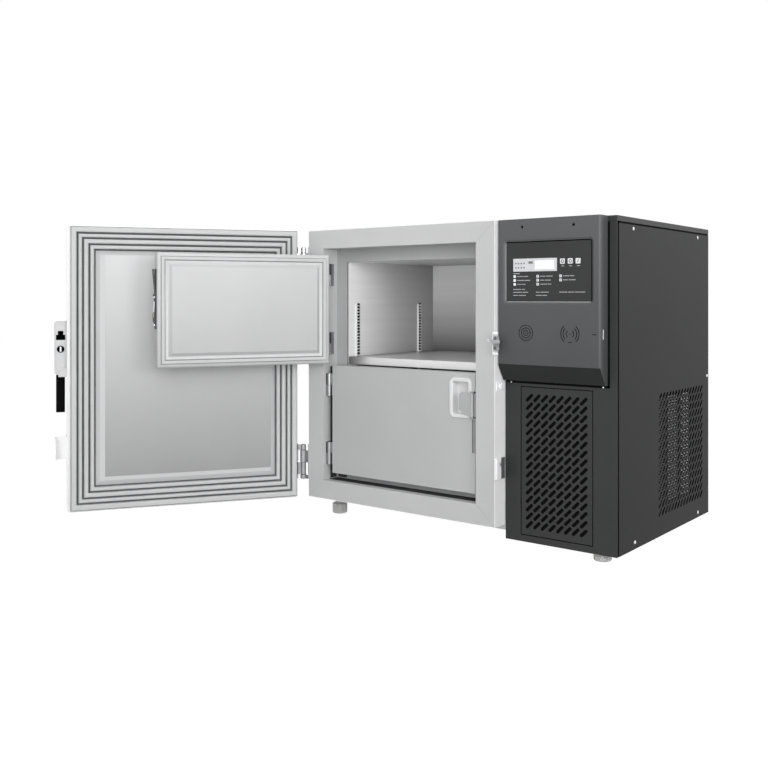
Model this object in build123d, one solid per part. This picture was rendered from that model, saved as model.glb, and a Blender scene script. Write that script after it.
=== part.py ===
from build123d import *
import os
from math import cos, hypot, radians, sin

# Ultra low temperature freezer for a bench. X runs from the cabinet's left side, Y from the face of its
# front frame towards the back, Z from the underside of the machine housing. place_on_floor() moves every
# piece to the part's own origin, the middle of the footprint on the floor.

# Insulated cabinet
cabinet_width = 534.0
cabinet_depth = 564.0
cabinet_height = 653.5
cabinet_lift = 29.5
skin = 1.2
frame_side = 47.5
frame_rail = 45.0
frame_seam = 0.25
jamb_depth = 52.0
flange_width = 32.0
flange_thick = 3.0
liner_depth = 420.0
liner_sheet = 1.0
liner_lip = 10.0
coil_space = 12.0
coil_radius = 5.0
coil_clear = 0.3
coil_runs = 4
coil_margin = 60.0
tube_sides = 6

# Shelf and its uprights
shelf_height = 374.0
shelf_sheet = 1.2
shelf_lip = 18.0
shelf_side_clear = 2.0
shelf_front = 58.0
shelf_back_clear = 10.0
standard_width = 12.0
standard_depth = 5.0
standard_sheet = 1.2
standard_bottom = 130.0
standard_top = 502.0
standard_front_y = 92.0
standard_rear_y = 352.0
standard_pitch = 31.0
standard_slot_height = 14.0
standard_slot_width = 4.0
notch_clear = 1.0
clip_reach = 14.0
clip_width = 9.0
clip_thick = 3.0

# Base and feet
rail_height = 17.5
rail_width = 30.0
rail_wall = 2.0
rail_end = 8.0
foot_height = 32.0
foot_radius = 18.5
foot_groove = 1.4
foot_ribs = 9
foot_rib_shares = (0.0, 0.6, 0.7, 0.9)
foot_neck = 6.0
foot_neck_half = 10.0
foot_left_x = 33.0
foot_right_inset = 49.0
foot_front_y = 80.0
foot_rear_inset = 64.0
pan_hole_clear = 2.0

# Machine housing
housing_gap = 2.0
housing_width = 256.0
housing_setback = 42.0
panel_sheet = 1.5
cover_lip = 11.0
seam = 0.5

# Control bezel
bezel_width = 236.0
bezel_height = 341.0
bezel_stand = 33.0
bezel_wall = 3.0
bezel_round = 5.0
chin_height = 36.0
chin_run = 23.0
display_width = 207.0
display_height = 135.0
display_left = 14.0
display_drop = 43.0
display_round = 8.0
display_bevel = 4.0
display_plate = 2.0
display_overlap = 3.0
bezel_hole_radius = 3.0
bezel_hole_spread = 118.0
bezel_hole_drop = 17.0
speaker_x = 68.0
speaker_drop = 238.0
speaker_ring = 10.5
speaker_holes = 8
speaker_hole_radius = 1.6

# Things on the display panel, measured from its left edge and from the top of the bezel's window
lcd_left = 22.4
lcd_drop = 40.0
lcd_width = 102.0
lcd_height = 27.0
lcd_stand = 0.6
key_size = 11.4
key_drop = 47.4
key_first = 137.7
key_pitch = 17.4
key_clear = 0.3
key_stand = 1.6
key_travel_room = 0.3
key_flange = 1.6
key_flange_reach = 1.2
lamp_size = 5.6
lamp_thick = 0.5
lamp_across = (23.0, 77.5, 130.0)
lamp_rows = (3, 3, 2)
lamp_drop = 80.0
lamp_pitch = 8.2
usb_height = 20.0
usb_width = 4.0
usb_depth = 12.0
usb_z = 445.0
usb_back = 21.0
usb_clear = 0.2

# Grille, side vents and rear vents
grille_width = 163.0
grille_height = 312.5
grille_left = 39.0
grille_bottom = 16.0
grille_gap = 2.0
grille_thick = 2.0
grille_flange = 10.0
stop_inset = 40.0
stop_height = 20.0
slot_pitch = 17.9
slot_length = 21.0
slot_width = 5.3
slot_angle = 45
grille_columns = 8
grille_rows = 16
filter_thick = 8.0
filter_inset = 4.0
vent_reach = 309.0
vent_bottom = 43.0
vent_columns = 15
vent_rows = 15
post_gap = 5.0
post_sheet = 1.2
post_fold = 10.0
post_bands = ((-5.0, 30.0), (53.0, 112.0), (135.0, 188.0))
post_top = 300.0
louvre_length = 180.0
louvre_height = 8.0
louvre_pitch = 28.0
louvre_rows = 6
louvre_bottom = 250.0

# Refrigeration
condenser_width = 176.0
condenser_depth = 40.0
condenser_height = 292.0
condenser_front = 66.0
condenser_end = 3.0
shroud_gap = 4.0
shroud_sheet = 1.5
shroud_margin = 12.0
fan_radius = 84.0
fan_tip_clear = 5.0
fan_hub_radius = 22.0
fan_depth = 24.0
fan_blades = 5
fan_blade_thick = 2.0
fan_blade_pitch = 50
fan_blade_width = 30.0
fan_gap = 6.0
fan_height = 178.0
shaft_radius = 4.0
shaft_clear = 0.05
motor_radius = 34.0
motor_length = 55.0
motor_arm = 8.0
compressor_radius = 72.0
compressor_height = 190.0
compressor_dome = 40.0
compressor_foot = 14.0
compressor_y = 318.0
accumulator_radius = 32.0
accumulator_height = 230.0
accumulator_gap = 6.0
pipe_radius = 4.0
pipe_rise = 50.0
control_box_width = 200.0
control_box_depth = 110.0
control_box_height = 210.0
control_box_bottom = 440.0
inlet_width = 50.0
inlet_height = 28.0
inlet_flange = 5.0
inlet_flange_thick = 2.5
inlet_depth = 24.0
inlet_wall = 3.0
inlet_x = 710.0
inlet_z = 90.0
screw_radius = 4.0
screw_head = 1.4
front_screws = ((121.5, 660.5), (129.0, 14.0))
rear_screws = ((72.4, 660.4), (9.4, 330.6), (71.1, 11.7))

# Outer door, drawn closed and then swung open
door_open_angle = 123.0
door_hinge_x = -13.5
door_hinge_y = -4.0
door_gap = 12.0
door_thick = 75.0
door_edge = 2.0
door_free_lap = 7.0
door_lap = 4.0
door_round = 5.0
door_liner_sheet = 2.0
seal_clear = 0.4
seal_base = 4.0
seal_ribs = ((0.0, 13.0), (17.0, 25.0), (29.0, 39.0), (43.0, 51.5))
seal_crown = 1.6
plug_inset = 56.5
plug_bevel = 9.0
plug_rise = 4.0

# Outer hinges
hinge_height = 85.5
hinge_low_z = 71.5
hinge_high_z = 557.5
hinge_wide_radius = 8.0
hinge_narrow_radius = 6.6
hinge_pin_radius = 3.5
hinge_pin_clear = 0.05
hinge_leaf = 3.0
hinge_leaf_reach = 38.0
hinge_cap = 11.0
hinge_knuckle = 30.0
hinge_knuckle_gap = 0.4
hinge_web = 5.0

# Latch handle, keeper and padlock eyes
handle_overhang = 28.0
handle_bottom = 341.0
handle_height = 122.0
handle_rear = 30.0
handle_proud = 9.0
handle_wall = 3.0
handle_plate_width = 30.0
handle_round = 4.0
socket_z = 427.0
socket_height = 12.0
socket_crown = 9.0
socket_shoulder = 5.0
lock_z = 400.0
lock_radius = 7.5
lock_clear = 0.3
lock_proud = 2.5
key_slot_width = 2.0
key_slot_depth = 3.0
key_slot_length = 12.0
lever_pivot_rise = 13.0
lever_pin_radius = 3.0
lever_tang = 12.0
lever_side_clear = 1.0
lever_shoulder = 11.0
grip_length = 80.0
grip_depth = 24.0
grip_round = 4.0
handle_notch = 34.0
clip_block_height = 18.0
clip_block_drop = 4.5
clip_block_width = 19.0
clip_block_depth = 9.0
keeper_sheet = 1.5
keeper_height = 48.0
keeper_forward = 10.0
keeper_back = 30.0
keeper_width = 17.0
hook_x = 10.5
hook_width = 6.0
hook_height = 10.0
hook_reach = 40.0
hook_barb = 5.0
hasp_sheet = 2.0
hasp_hole_radius = 4.5
door_hasp_bottom = 149.0
door_hasp_height = 51.0
door_hasp_lip = 36.0
door_hasp_leg = 44.0
cabinet_hasp_bottom = 133.0
cabinet_hasp_height = 45.0
cabinet_hasp_depth = 30.0
cabinet_hasp_stand = 8.0
hasp_hole_y = 12.0
port_gap = 2.0
port_height = 21.0
port_front = 6.0
port_depth = 34.0
port_plate = 2.0
port_knob_radius = 6.5
port_knob_length = 5.0

# Inner doors, drawn closed; the upper one is then swung open
inner_open_angle = 119.0
inner_hinge_x = 57.5
inner_hinge_y = 12.0
inner_left = 67.6
inner_right_gap = 9.0
inner_thick = 30.0
inner_height = 261.0
inner_low_z = 93.0
inner_between = 6.0
inner_round = 4.0
inner_seal_inset = 11.0
inner_seal_width = 12.0
inner_seal_clear = 0.3
inner_seal_crown = 2.0
inner_plug_inset = 27.0
inner_plug_bevel = 6.0
inner_plug_rise = 5.0
inner_barrel_radius = 5.0
inner_pin_radius = 2.5
inner_hinge_height = 54.0
inner_hinge_offsets = (20.0, 187.0)
inner_leaf = 2.0
inner_leaf_reach = 26.0
inner_web = 4.0

# Inner door handle cup, edge catch and latch paddle, measured from the door's right edge and its bottom
cup_right = 8.5
cup_width = 58.0
cup_bottom = 162.0
cup_height = 88.0
cup_rim = 9.0
cup_proud = 3.0
cup_depth = 18.0
cup_wall = 2.0
cup_round = 12.0
cup_clear = 0.2
catch_bottom = 88.0
catch_height = 135.0
catch_plate = 1.5
catch_width = 20.0
catch_front = 4.0
catch_stand = 7.0
catch_ramp = 22.0
spring_thick = 1.2
spring_length = 58.0
roller_radius = 2.6
paddle_width = 37.0
paddle_bottom = 167.0
paddle_height = 52.0
paddle_thick = 4.0
paddle_ahead = 6.0
paddle_pin_inset = 4.5
paddle_pin_radius = 2.0
paddle_barrel_radius = 3.6
paddle_gap = 0.5
paddle_ear = 3.0
paddle_cut = 14.0

# Sizes that follow from the ones above
cabinet_top = cabinet_lift + cabinet_height
opening = (frame_side, cabinet_width - frame_side, cabinet_lift + frame_rail, cabinet_top - frame_rail)
liner_box = (opening[0] + flange_width, opening[1] - flange_width,
             opening[2] + flange_width, opening[3] - flange_width)
liner_front = jamb_depth + flange_thick
housing_left = cabinet_width + housing_gap
housing_right = housing_left + housing_width
housing_back = cabinet_depth
rail_bottom = cabinet_lift - rail_height
floor = rail_bottom - foot_height
foot_right_x = housing_right - foot_right_inset
foot_rear_y = cabinet_depth - foot_rear_inset
vent_front = housing_back - vent_reach
accumulator_x = housing_left + accumulator_radius + accumulator_gap
bezel_front = housing_setback - bezel_stand
bezel_bottom = cabinet_top - bezel_height
bezel_right = housing_left + bezel_width
window_left = housing_left + display_left
window_top = cabinet_top - display_drop
grille_x = housing_left + grille_left
fan_x = housing_left + housing_width / 2
shroud_y = condenser_front + condenser_depth + shroud_gap
door_inner_y = -door_gap
door_outer_y = door_inner_y - door_thick
door_free_x = cabinet_width + door_free_lap
handle_x = door_free_x + handle_overhang
inner_right = opening[1] - inner_right_gap
inner_back = inner_hinge_y + inner_thick
inner_bottoms = {"lower": inner_low_z, "upper": inner_low_z + inner_height + inner_between}


def block(x0, x1, y0, y1, z0, z1):
    """Box between two corners."""
    return Pos((x0 + x1) / 2, (y0 + y1) / 2, (z0 + z1) / 2) * Box(x1 - x0, y1 - y0, z1 - z0)


def upright(x, y, z0, z1, radius):
    """Round bar along Z."""
    return Pos(x, y, (z0 + z1) / 2) * Cylinder(radius, z1 - z0)


def level(x, y0, y1, z, radius):
    """Round bar along Y."""
    return Pos(x, (y0 + y1) / 2, z) * Rot(90, 0, 0) * Cylinder(radius, y1 - y0)


def crosswise(x0, x1, y, z, radius):
    """Round bar along X."""
    return Pos((x0 + x1) / 2, y, z) * Rot(0, 90, 0) * Cylinder(radius, x1 - x0)


def facing(sketch, y0, y1):
    """A flat shape drawn in X and Z, given the thickness from y0 back to y1."""
    return extrude(Plane((0, y1, 0), x_dir=(1, 0, 0), z_dir=(0, -1, 0)) * sketch, y1 - y0)


def sideways(sketch, x0, x1):
    """A flat shape drawn in Y and Z, given the thickness from x0 to x1."""
    return extrude(Plane((x0, 0, 0), x_dir=(0, 1, 0), z_dir=(1, 0, 0)) * sketch, x1 - x0)


def polygon(*points):
    """Flat shape with straight sides through the points."""
    return make_face(Polyline(*points, close=True))


def oblong(x0, x1, z0, z1, radius=0.0):
    """Rectangle between two corners, with round corners if a radius is given."""
    middle = Pos((x0 + x1) / 2, (z0 + z1) / 2)
    if radius > 0:
        return middle * RectangleRounded(x1 - x0, z1 - z0, radius)
    return middle * Rectangle(x1 - x0, z1 - z0)


def slot_field(middle, columns, rows):
    """Grid of slanted slots."""
    slot = Rectangle(slot_length, slot_width, rotation=slot_angle)
    return [Pos(*middle) * place * slot for place in GridLocations(slot_pitch, slot_pitch, columns, rows)]


def mitred_bars(outer, inner, y0, y1):
    """Left, right, bottom and top bars of a flat frame, cut on the lines between its corners."""
    x0, x1, z0, z1 = outer
    a0, a1, c0, c1 = inner
    gap = frame_seam
    shapes = [
        polygon((x0, z0 + gap), (a0, c0 + gap), (a0, c1 - gap), (x0, z1 - gap)),
        polygon((x1, z0 + gap), (a1, c0 + gap), (a1, c1 - gap), (x1, z1 - gap)),
        polygon((x0 + gap, z0), (x1 - gap, z0), (a1 - gap, c0), (a0 + gap, c0)),
        polygon((x0 + gap, z1), (x1 - gap, z1), (a1 - gap, c1), (a0 + gap, c1)),
    ]
    return [facing(shape, y0, y1) for shape in shapes]


def mitred_ring(x0, x1, z0, z1, section):
    """One extruded seal section (inset along X, depth along Y) welded at four mitred corners."""
    reach = section.bounding_box().max.X
    low, high = section.bounding_box().min.Y, section.bounding_box().max.Y
    a0, a1, c0, c1 = x0 + reach, x1 - reach, z0 + reach, z1 - reach
    side = extrude(Pos(x0, 0, z0) * section, z1 - z0)
    side &= facing(polygon((x0, z0), (a0, c0), (a0, c1), (x0, z1)), low, high)
    across = Plane((x1, 0, z0), x_dir=(0, 0, 1), z_dir=(-1, 0, 0)) * section
    rail = extrude(across, x1 - x0)
    rail &= facing(polygon((x0, z0), (x1, z0), (a1, c0), (a0, c0)), low, high)
    other_side = mirror(side, about=Plane.YZ.offset((x0 + x1) / 2))
    other_rail = mirror(rail, about=Plane.XY.offset((z0 + z1) / 2))
    return side + rail + other_side + other_rail


def bevelled_plug(x0, x1, z0, z1, bevel, y0, y1):
    """Raised panel whose four sides slope in by the bevel from y0 to y1."""
    foot = Plane((0, y0, 0), x_dir=(1, 0, 0), z_dir=(0, -1, 0)) * oblong(x0, x1, z0, z1)
    crown = Plane((0, y1, 0), x_dir=(1, 0, 0), z_dir=(0, -1, 0)) * oblong(x0 + bevel, x1 - bevel,
                                                                          z0 + bevel, z1 - bevel)
    return loft([foot, crown], ruled=True)


def mitred_tube(radius, *points):
    """Tube of straight runs joined by mitred elbows."""
    path = Polyline(*points)
    section = Plane(path @ 0, z_dir=path % 0) * RegularPolygon(radius, tube_sides)
    return sweep(section, path=path, transition=Transition.RIGHT)


def swung(shape, x, y, angle):
    """A closed door's piece turned open about its upright hinge line."""
    return Pos(x, y, 0) * Rot(0, 0, -angle) * Pos(-x, -y, 0) * shape


def outer_open(shape):
    return swung(shape, door_hinge_x, door_hinge_y, door_open_angle)


def inner_open(shape):
    return swung(shape, inner_hinge_x, inner_hinge_y, inner_open_angle)


def as_drawn(shape):
    return shape


def place_on_floor(shape):
    return Pos(-housing_right / 2, -cabinet_depth / 2, -floor) * shape


def write(node, *shapes):
    """Save one node as its separate solids."""
    solids = [solid for shape in shapes for solid in place_on_floor(shape).solids()]
    export_step(solids[0] if len(solids) == 1 else Compound(children=solids), f"parts/{node}.step")


# Cabinet

def cabinet_shell():
    outside = block(0, cabinet_width, 0, cabinet_depth, cabinet_lift, cabinet_top)
    inside = block(skin, cabinet_width - skin, -skin, cabinet_depth - skin,
                   cabinet_lift + skin, cabinet_top - skin)
    return outside - inside


def front_frame():
    outer = (skin, cabinet_width - skin, cabinet_lift + skin, cabinet_top - skin)
    return mitred_bars(outer, opening, 0, jamb_depth)


def inner_flange():
    return mitred_bars(opening, liner_box, jamb_depth, liner_front)


def inner_liner():
    """Steel tub of five welded sheets, with a lip behind the flange."""
    x0, x1, z0, z1 = liner_box
    s, front, back = liner_sheet, liner_front, liner_depth
    walls = [
        block(x0 - s, x1 + s, back, back + s, z0 - s, z1 + s),
        block(x0 - s, x0, front, back, z0 - s, z1 + s),
        block(x1, x1 + s, front, back, z0 - s, z1 + s),
        block(x0, x1, front, back, z0 - s, z0),
        block(x0, x1, front, back, z1, z1 + s),
    ]
    outer = (x0 - liner_lip, x1 + liner_lip, z0 - liner_lip, z1 + liner_lip)
    return walls + mitred_bars(outer, (x0 - s, x1 + s, z0 - s, z1 + s), front, front + s)


def insulation_panels():
    x0, x1, z0, z1 = liner_box
    s = liner_sheet
    front, back = liner_front + s, cabinet_depth - skin
    low, high = cabinet_lift + skin, cabinet_top - skin
    return [
        block(skin, x0 - s, front, back, low, high),
        block(x1 + s, cabinet_width - skin, front, back, low, high),
        block(x0 - s, x1 + s, front, back, low, z0 - s),
        block(x0 - s, x1 + s, front, back, z1 + s, high),
        block(x0 - s, x1 + s, liner_depth + s + coil_space, back, z0 - s, z1 + s),
    ]


def evaporator():
    """Tube laid in hairpins against the back of the liner."""
    x0, x1, z0, z1 = liner_box
    y = liner_depth + liner_sheet + coil_clear + coil_radius
    rise = (z1 - z0 - 2 * coil_margin) / (coil_runs - 1)
    ends = (x0 + coil_margin, x1 - coil_margin)
    points = []
    for run in range(coil_runs):
        z = z0 + coil_margin + run * rise
        there = ends if run % 2 == 0 else ends[::-1]
        points += [(there[0], y, z), (there[1], y, z)]
    return mitred_tube(coil_radius, *points)


def shelf_standards():
    x0, x1 = liner_box[:2]
    shapes = []
    slots = int((standard_top - standard_bottom - standard_slot_height) / standard_pitch)
    middle = (standard_bottom + standard_top) / 2
    for y in (standard_front_y, standard_rear_y):
        channel = block(x0, x0 + standard_depth, y - standard_width / 2, y + standard_width / 2,
                        standard_bottom, standard_top)
        channel -= block(x0 - standard_sheet, x0 + standard_depth - standard_sheet,
                         y - standard_width / 2 + standard_sheet, y + standard_width / 2 - standard_sheet,
                         standard_bottom - 1, standard_top + 1)
        holes = [sideways(Pos(y, middle) * place * Rectangle(standard_slot_width, standard_slot_height),
                          x0, x0 + 2 * standard_depth)
                 for place in GridLocations(0, standard_pitch, 1, slots)]
        channel -= holes
        shapes += [channel, mirror(channel, about=Plane.YZ.offset((x0 + x1) / 2))]
    return shapes


def shelf():
    x0, x1 = liner_box[0] + shelf_side_clear, liner_box[1] - shelf_side_clear
    back = liner_depth - shelf_back_clear
    s = shelf_sheet
    tray = block(x0, x1, shelf_front, back, shelf_height - shelf_lip, shelf_height)
    tray -= block(x0 + s, x1 - s, shelf_front + s, back - s, shelf_height - shelf_lip - s, shelf_height - s)
    bite = standard_depth - shelf_side_clear + notch_clear
    half = standard_width / 2 + notch_clear
    for y in (standard_front_y, standard_rear_y):
        for edge in (x0, x1):
            tray -= block(edge - bite, edge + bite, y - half, y + half,
                          shelf_height - 2 * shelf_lip, shelf_height + s)
    return tray


def shelf_clips():
    """Small angle hooked into each upright, carrying the shelf's sheet."""
    x0, x1 = liner_box[:2]
    face = x0 + standard_depth
    top = shelf_height - shelf_sheet
    shapes = []
    for y in (standard_front_y, standard_rear_y):
        near, far = y - clip_width / 2, y + clip_width / 2
        tread = block(face, face + clip_reach, near, far, top - clip_thick, top)
        leg = block(face, face + clip_thick, near, far, top - shelf_lip, top - clip_thick)
        clip = tread + leg
        shapes += [clip, mirror(clip, about=Plane.YZ.offset((x0 + x1) / 2))]
    return shapes


def base_frame():
    shapes = []
    for y in (foot_front_y, foot_rear_y):
        tube = block(rail_end, housing_right - rail_end, y - rail_width / 2, y + rail_width / 2,
                     rail_bottom, cabinet_lift)
        tube -= block(0, housing_right, y - rail_width / 2 + rail_wall, y + rail_width / 2 - rail_wall,
                      rail_bottom + rail_wall, cabinet_lift - rail_wall)
        shapes.append(tube)
    return shapes


def feet():
    """Moulded feet with upright grip ribs and a square neck under the rail."""
    outer, inner = foot_radius, foot_radius - foot_groove
    step = 360 / foot_ribs
    rim = []
    for i in range(foot_ribs):
        for share, radius in zip(foot_rib_shares, (outer, outer, inner, inner)):
            turn = radians(step * (i + share))
            rim.append((radius * cos(turn), radius * sin(turn)))
    shapes = []
    for x in (foot_left_x, foot_right_x):
        for y in (foot_front_y, foot_rear_y):
            body = extrude(Pos(x, y, floor) * polygon(*rim), foot_height - foot_neck)
            shapes.append(body + block(x - foot_neck_half, x + foot_neck_half, y - foot_neck_half,
                                       y + foot_neck_half, rail_bottom - foot_neck, rail_bottom))
    return shapes


def hinge_bands(z):
    """Heights of the knuckles of one outer hinge: two on the cabinet's leaf, two on the door's."""
    cap = z + hinge_cap
    lower = cap + hinge_knuckle
    upper = lower + hinge_knuckle
    g = hinge_knuckle_gap / 2
    return {"cabinet": ((z, cap - g), (lower + g, upper - g)),
            "door": ((cap + g, lower - g), (upper + g, z + hinge_height))}


def knuckled_leaf(z, side, radius, y_sign, leaf_y):
    """One leaf of an outer hinge: a plate on the edge, and knuckles bored for the pin."""
    x, y = door_hinge_x, door_hinge_y
    web_y = sorted((y, y + y_sign * (abs(leaf_y - y) + hinge_web)))
    plate_y = sorted((leaf_y, leaf_y + y_sign * hinge_leaf_reach))
    leaf = block(-hinge_leaf, 0, *plate_y, z, z + hinge_height)
    for low, high in hinge_bands(z)[side]:
        leaf += block(x, 0, *web_y, low, high)
        leaf += upright(x, y, low, high, radius)
    return leaf - upright(x, y, z - 1, z + hinge_height + 1, hinge_pin_radius + hinge_pin_clear)


def cabinet_leaf(z):
    return knuckled_leaf(z, "cabinet", hinge_wide_radius, 1, door_hinge_y + hinge_web)


def door_leaf(z):
    return knuckled_leaf(z, "door", hinge_narrow_radius, -1, door_inner_y - door_liner_sheet)


def outer_hinges(leaf):
    return [leaf(hinge_low_z), leaf(hinge_high_z)]


def inner_hinge_spans(bottom):
    """Bottom height of each of one inner door's two hinges."""
    return [bottom + offset for offset in inner_hinge_offsets]


def inner_bracket(z):
    """Frame half of a lift-off inner hinge: a plate on the jamb, one knuckle and the pin fixed in it."""
    x, y = inner_hinge_x, inner_hinge_y
    jamb = opening[0]
    top = z + inner_hinge_height
    split = (z + top - hinge_knuckle_gap) / 2
    half = block(jamb, jamb + inner_leaf, y - inner_web / 2, y + inner_leaf_reach, z, top)
    half += block(jamb, x, y - inner_web / 2, y + inner_web / 2, z, split)
    half += upright(x, y, z, split, inner_barrel_radius)
    return half + upright(x, y, z, top, inner_pin_radius)


def inner_leaf_piece(z):
    """Door half of a lift-off inner hinge: a plate on the door and the knuckle that drops on the pin."""
    x, y = inner_hinge_x, inner_hinge_y
    top = z + inner_hinge_height
    split = (z + top + hinge_knuckle_gap) / 2
    half = block(inner_left - inner_leaf, inner_left, y, y + inner_leaf_reach, z, top)
    half += block(x, inner_left, y, y + inner_web, split, top)
    half += upright(x, y, split, top, inner_barrel_radius)
    return half - upright(x, y, split - 1, top + 1, inner_pin_radius + hinge_pin_clear)


def hinge_pins():
    return [upright(door_hinge_x, door_hinge_y, z, z + hinge_height, hinge_pin_radius)
            for z in (hinge_low_z, hinge_high_z)]


def latch_keeper():
    """Angle on the cabinet's right side whose barbed hook enters the handle's socket."""
    x = cabinet_width
    low = socket_z - hook_height / 2 - keeper_height / 2
    leg = block(x, x + keeper_sheet, -keeper_forward, keeper_back, low, low + keeper_height)
    face = block(x, x + keeper_width, -keeper_forward, -keeper_forward + keeper_sheet,
                 low, low + keeper_height)
    tip = -keeper_forward - hook_reach
    outline = polygon((-keeper_forward, socket_z - hook_height / 2), (tip, socket_z - hook_height / 2),
                      (tip, socket_z + hook_height / 2 + hook_barb),
                      (tip + hook_barb, socket_z + hook_height / 2),
                      (-keeper_forward, socket_z + hook_height / 2))
    hook = sideways(outline, x + hook_x, x + hook_x + hook_width)
    return leg + face + hook


def cabinet_hasp():
    """Padlock eye on the cabinet: a plate on the side wall, stepped out to a second plate with the hole."""
    x, low, high = cabinet_width, cabinet_hasp_bottom, cabinet_hasp_bottom + cabinet_hasp_height
    s, out, back = hasp_sheet, x + cabinet_hasp_stand, cabinet_hasp_depth
    step = polygon((x, -s), (out, -s), (out, back - s), (out - s, back - s),
                   (out - s, 0), (x + s, 0), (x + s, back), (x, back))
    plate = extrude(Pos(0, 0, low) * step, high - low)
    hole_z = (door_hasp_bottom + high) / 2
    return plate - crosswise(x + s, out + s, hasp_hole_y, hole_z, hasp_hole_radius)


def pressure_port():
    """Small plate with a round vent knob on the cabinet's right side."""
    x = cabinet_width
    high = bezel_bottom - port_gap
    low = high - port_height
    plate = block(x, x + port_plate, port_front, port_front + port_depth, low, high)
    knob = crosswise(x + port_plate, x + port_plate + port_knob_length, port_front + port_depth / 2,
                     (low + high) / 2, port_knob_radius)
    return plate + knob


# Machine housing

def machine_base():
    pan = block(housing_left, housing_right - skin, housing_setback + panel_sheet, housing_back - skin,
                0, panel_sheet)
    room = foot_radius + pan_hole_clear
    for y in (foot_front_y, foot_rear_y):
        pan += block(housing_left, foot_right_x - foot_radius - rail_width / 2,
                     y - rail_width / 2, y + rail_width / 2, panel_sheet, rail_bottom)
        pan -= block(foot_right_x - room, foot_right_x + room, y - room, y + room, -1, rail_bottom)
    return pan


def front_panel():
    """Front sheet with the grille's opening, and stops folded in behind the grille's rim."""
    wall = oblong(housing_left, housing_right, 0, cabinet_top - cover_lip - seam)
    hole = oblong(grille_x - grille_gap, grille_x + grille_width + grille_gap,
                  grille_bottom - grille_gap, grille_bottom + grille_height + grille_gap)
    panel = facing(wall - hole, housing_setback, housing_setback + panel_sheet)
    near, far = housing_setback + panel_sheet, housing_setback + grille_flange
    for side in (-1, 1):
        rim = grille_x + (grille_width + side * grille_width) / 2
        edge, out = rim + side * grille_gap, rim + side * (grille_gap + panel_sheet)
        for z in (grille_bottom + stop_inset, grille_bottom + grille_height - stop_inset - stop_height):
            panel += block(*sorted((edge, out)), near, far, z, z + stop_height)
            panel += block(*sorted((rim - side * grille_thick, out)), far, far + panel_sheet,
                           z, z + stop_height)
    return panel


def front_grille():
    middle = (grille_x + grille_width / 2, grille_bottom + grille_height / 2)
    face = oblong(grille_x, grille_x + grille_width, grille_bottom, grille_bottom + grille_height)
    face -= slot_field(middle, grille_columns, grille_rows)
    plate = facing(face, housing_setback, housing_setback + grille_thick)
    rim = oblong(grille_x, grille_x + grille_width, grille_bottom, grille_bottom + grille_height)
    t = grille_thick
    rim -= oblong(grille_x + t, grille_x + grille_width - t, grille_bottom + t,
                  grille_bottom + grille_height - t)
    return plate + facing(rim, housing_setback + t, housing_setback + grille_flange)


def air_filter():
    i = filter_inset
    y = housing_setback + grille_thick
    return block(grille_x + i, grille_x + grille_width - i, y, y + filter_thick,
                 grille_bottom + i, grille_bottom + grille_height - i)


def side_panel():
    wall = oblong(housing_setback + panel_sheet, housing_back, 0, cabinet_top - cover_lip - seam)
    middle = (vent_front + vent_columns * slot_pitch / 2, vent_bottom + vent_rows * slot_pitch / 2)
    wall -= slot_field(middle, vent_columns, vent_rows)
    return sideways(wall, housing_right - skin, housing_right)


def vent_posts():
    """Folded galvanised posts that stand behind the side vents."""
    x1 = housing_right - skin - post_gap
    x0 = x1 - post_fold
    shapes = []
    s = post_sheet
    for start, stop in post_bands:
        y0, y1 = vent_front + start, vent_front + stop
        section = polygon((x1, y0), (x1, y1), (x0, y1), (x0, y1 - s), (x1 - s, y1 - s),
                          (x1 - s, y0 + s), (x0, y0 + s), (x0, y0))
        shapes.append(extrude(Pos(0, 0, panel_sheet) * section, post_top - panel_sheet))
    return shapes


def top_cover():
    x0, x1, y0, y1 = housing_left, housing_right, housing_setback, housing_back
    pan = block(x0, x1, y0, y1, cabinet_top - cover_lip, cabinet_top)
    return pan - block(x0 + skin, x1 - skin, y0 + skin, y1 - skin, 0, cabinet_top - skin)


def rear_panel():
    wall = oblong(housing_left, housing_right - skin, 0, cabinet_top - cover_lip - seam)
    middle = Pos(fan_x, louvre_bottom + louvre_rows * louvre_pitch / 2)
    wall -= [middle * place * Rectangle(louvre_length, louvre_height)
             for place in GridLocations(louvre_pitch, louvre_pitch, 1, louvre_rows)]
    wall -= oblong(inlet_x - inlet_width / 2, inlet_x + inlet_width / 2,
                   inlet_z - inlet_height / 2, inlet_z + inlet_height / 2)
    return facing(wall, housing_back - skin, housing_back)


def power_inlet():
    """Appliance inlet: flange outside the wall, open socket inside it."""
    w, h, f = inlet_width / 2 - seam, inlet_height / 2 - seam, inlet_flange
    outside = oblong(inlet_x - w - f, inlet_x + w + f, inlet_z - h - f, inlet_z + h + f, f)
    body = facing(outside, housing_back, housing_back + inlet_flange_thick)
    deep, wall = housing_back - inlet_depth, inlet_wall
    body += block(inlet_x - w, inlet_x + w, deep, housing_back, inlet_z - h, inlet_z + h)
    body -= block(inlet_x - w + wall, inlet_x + w - wall, deep + wall, housing_back + f,
                  inlet_z - h + wall, inlet_z + h - wall)
    return body


def bezel_outline(inset):
    """Side view of the bezel, its wall drawn in by the inset: straight front over a sloping chin."""
    front, back = bezel_front + inset, housing_setback
    low, high = bezel_bottom + inset, cabinet_top - inset
    slope = hypot(chin_run, chin_height)
    drop = inset * (slope - chin_height) / chin_run
    foot = inset * (slope - chin_run) / chin_height
    return polygon((back, low), (bezel_front + chin_run + foot, low),
                   (front, bezel_bottom + chin_height + drop), (front, high), (back, high))


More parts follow.
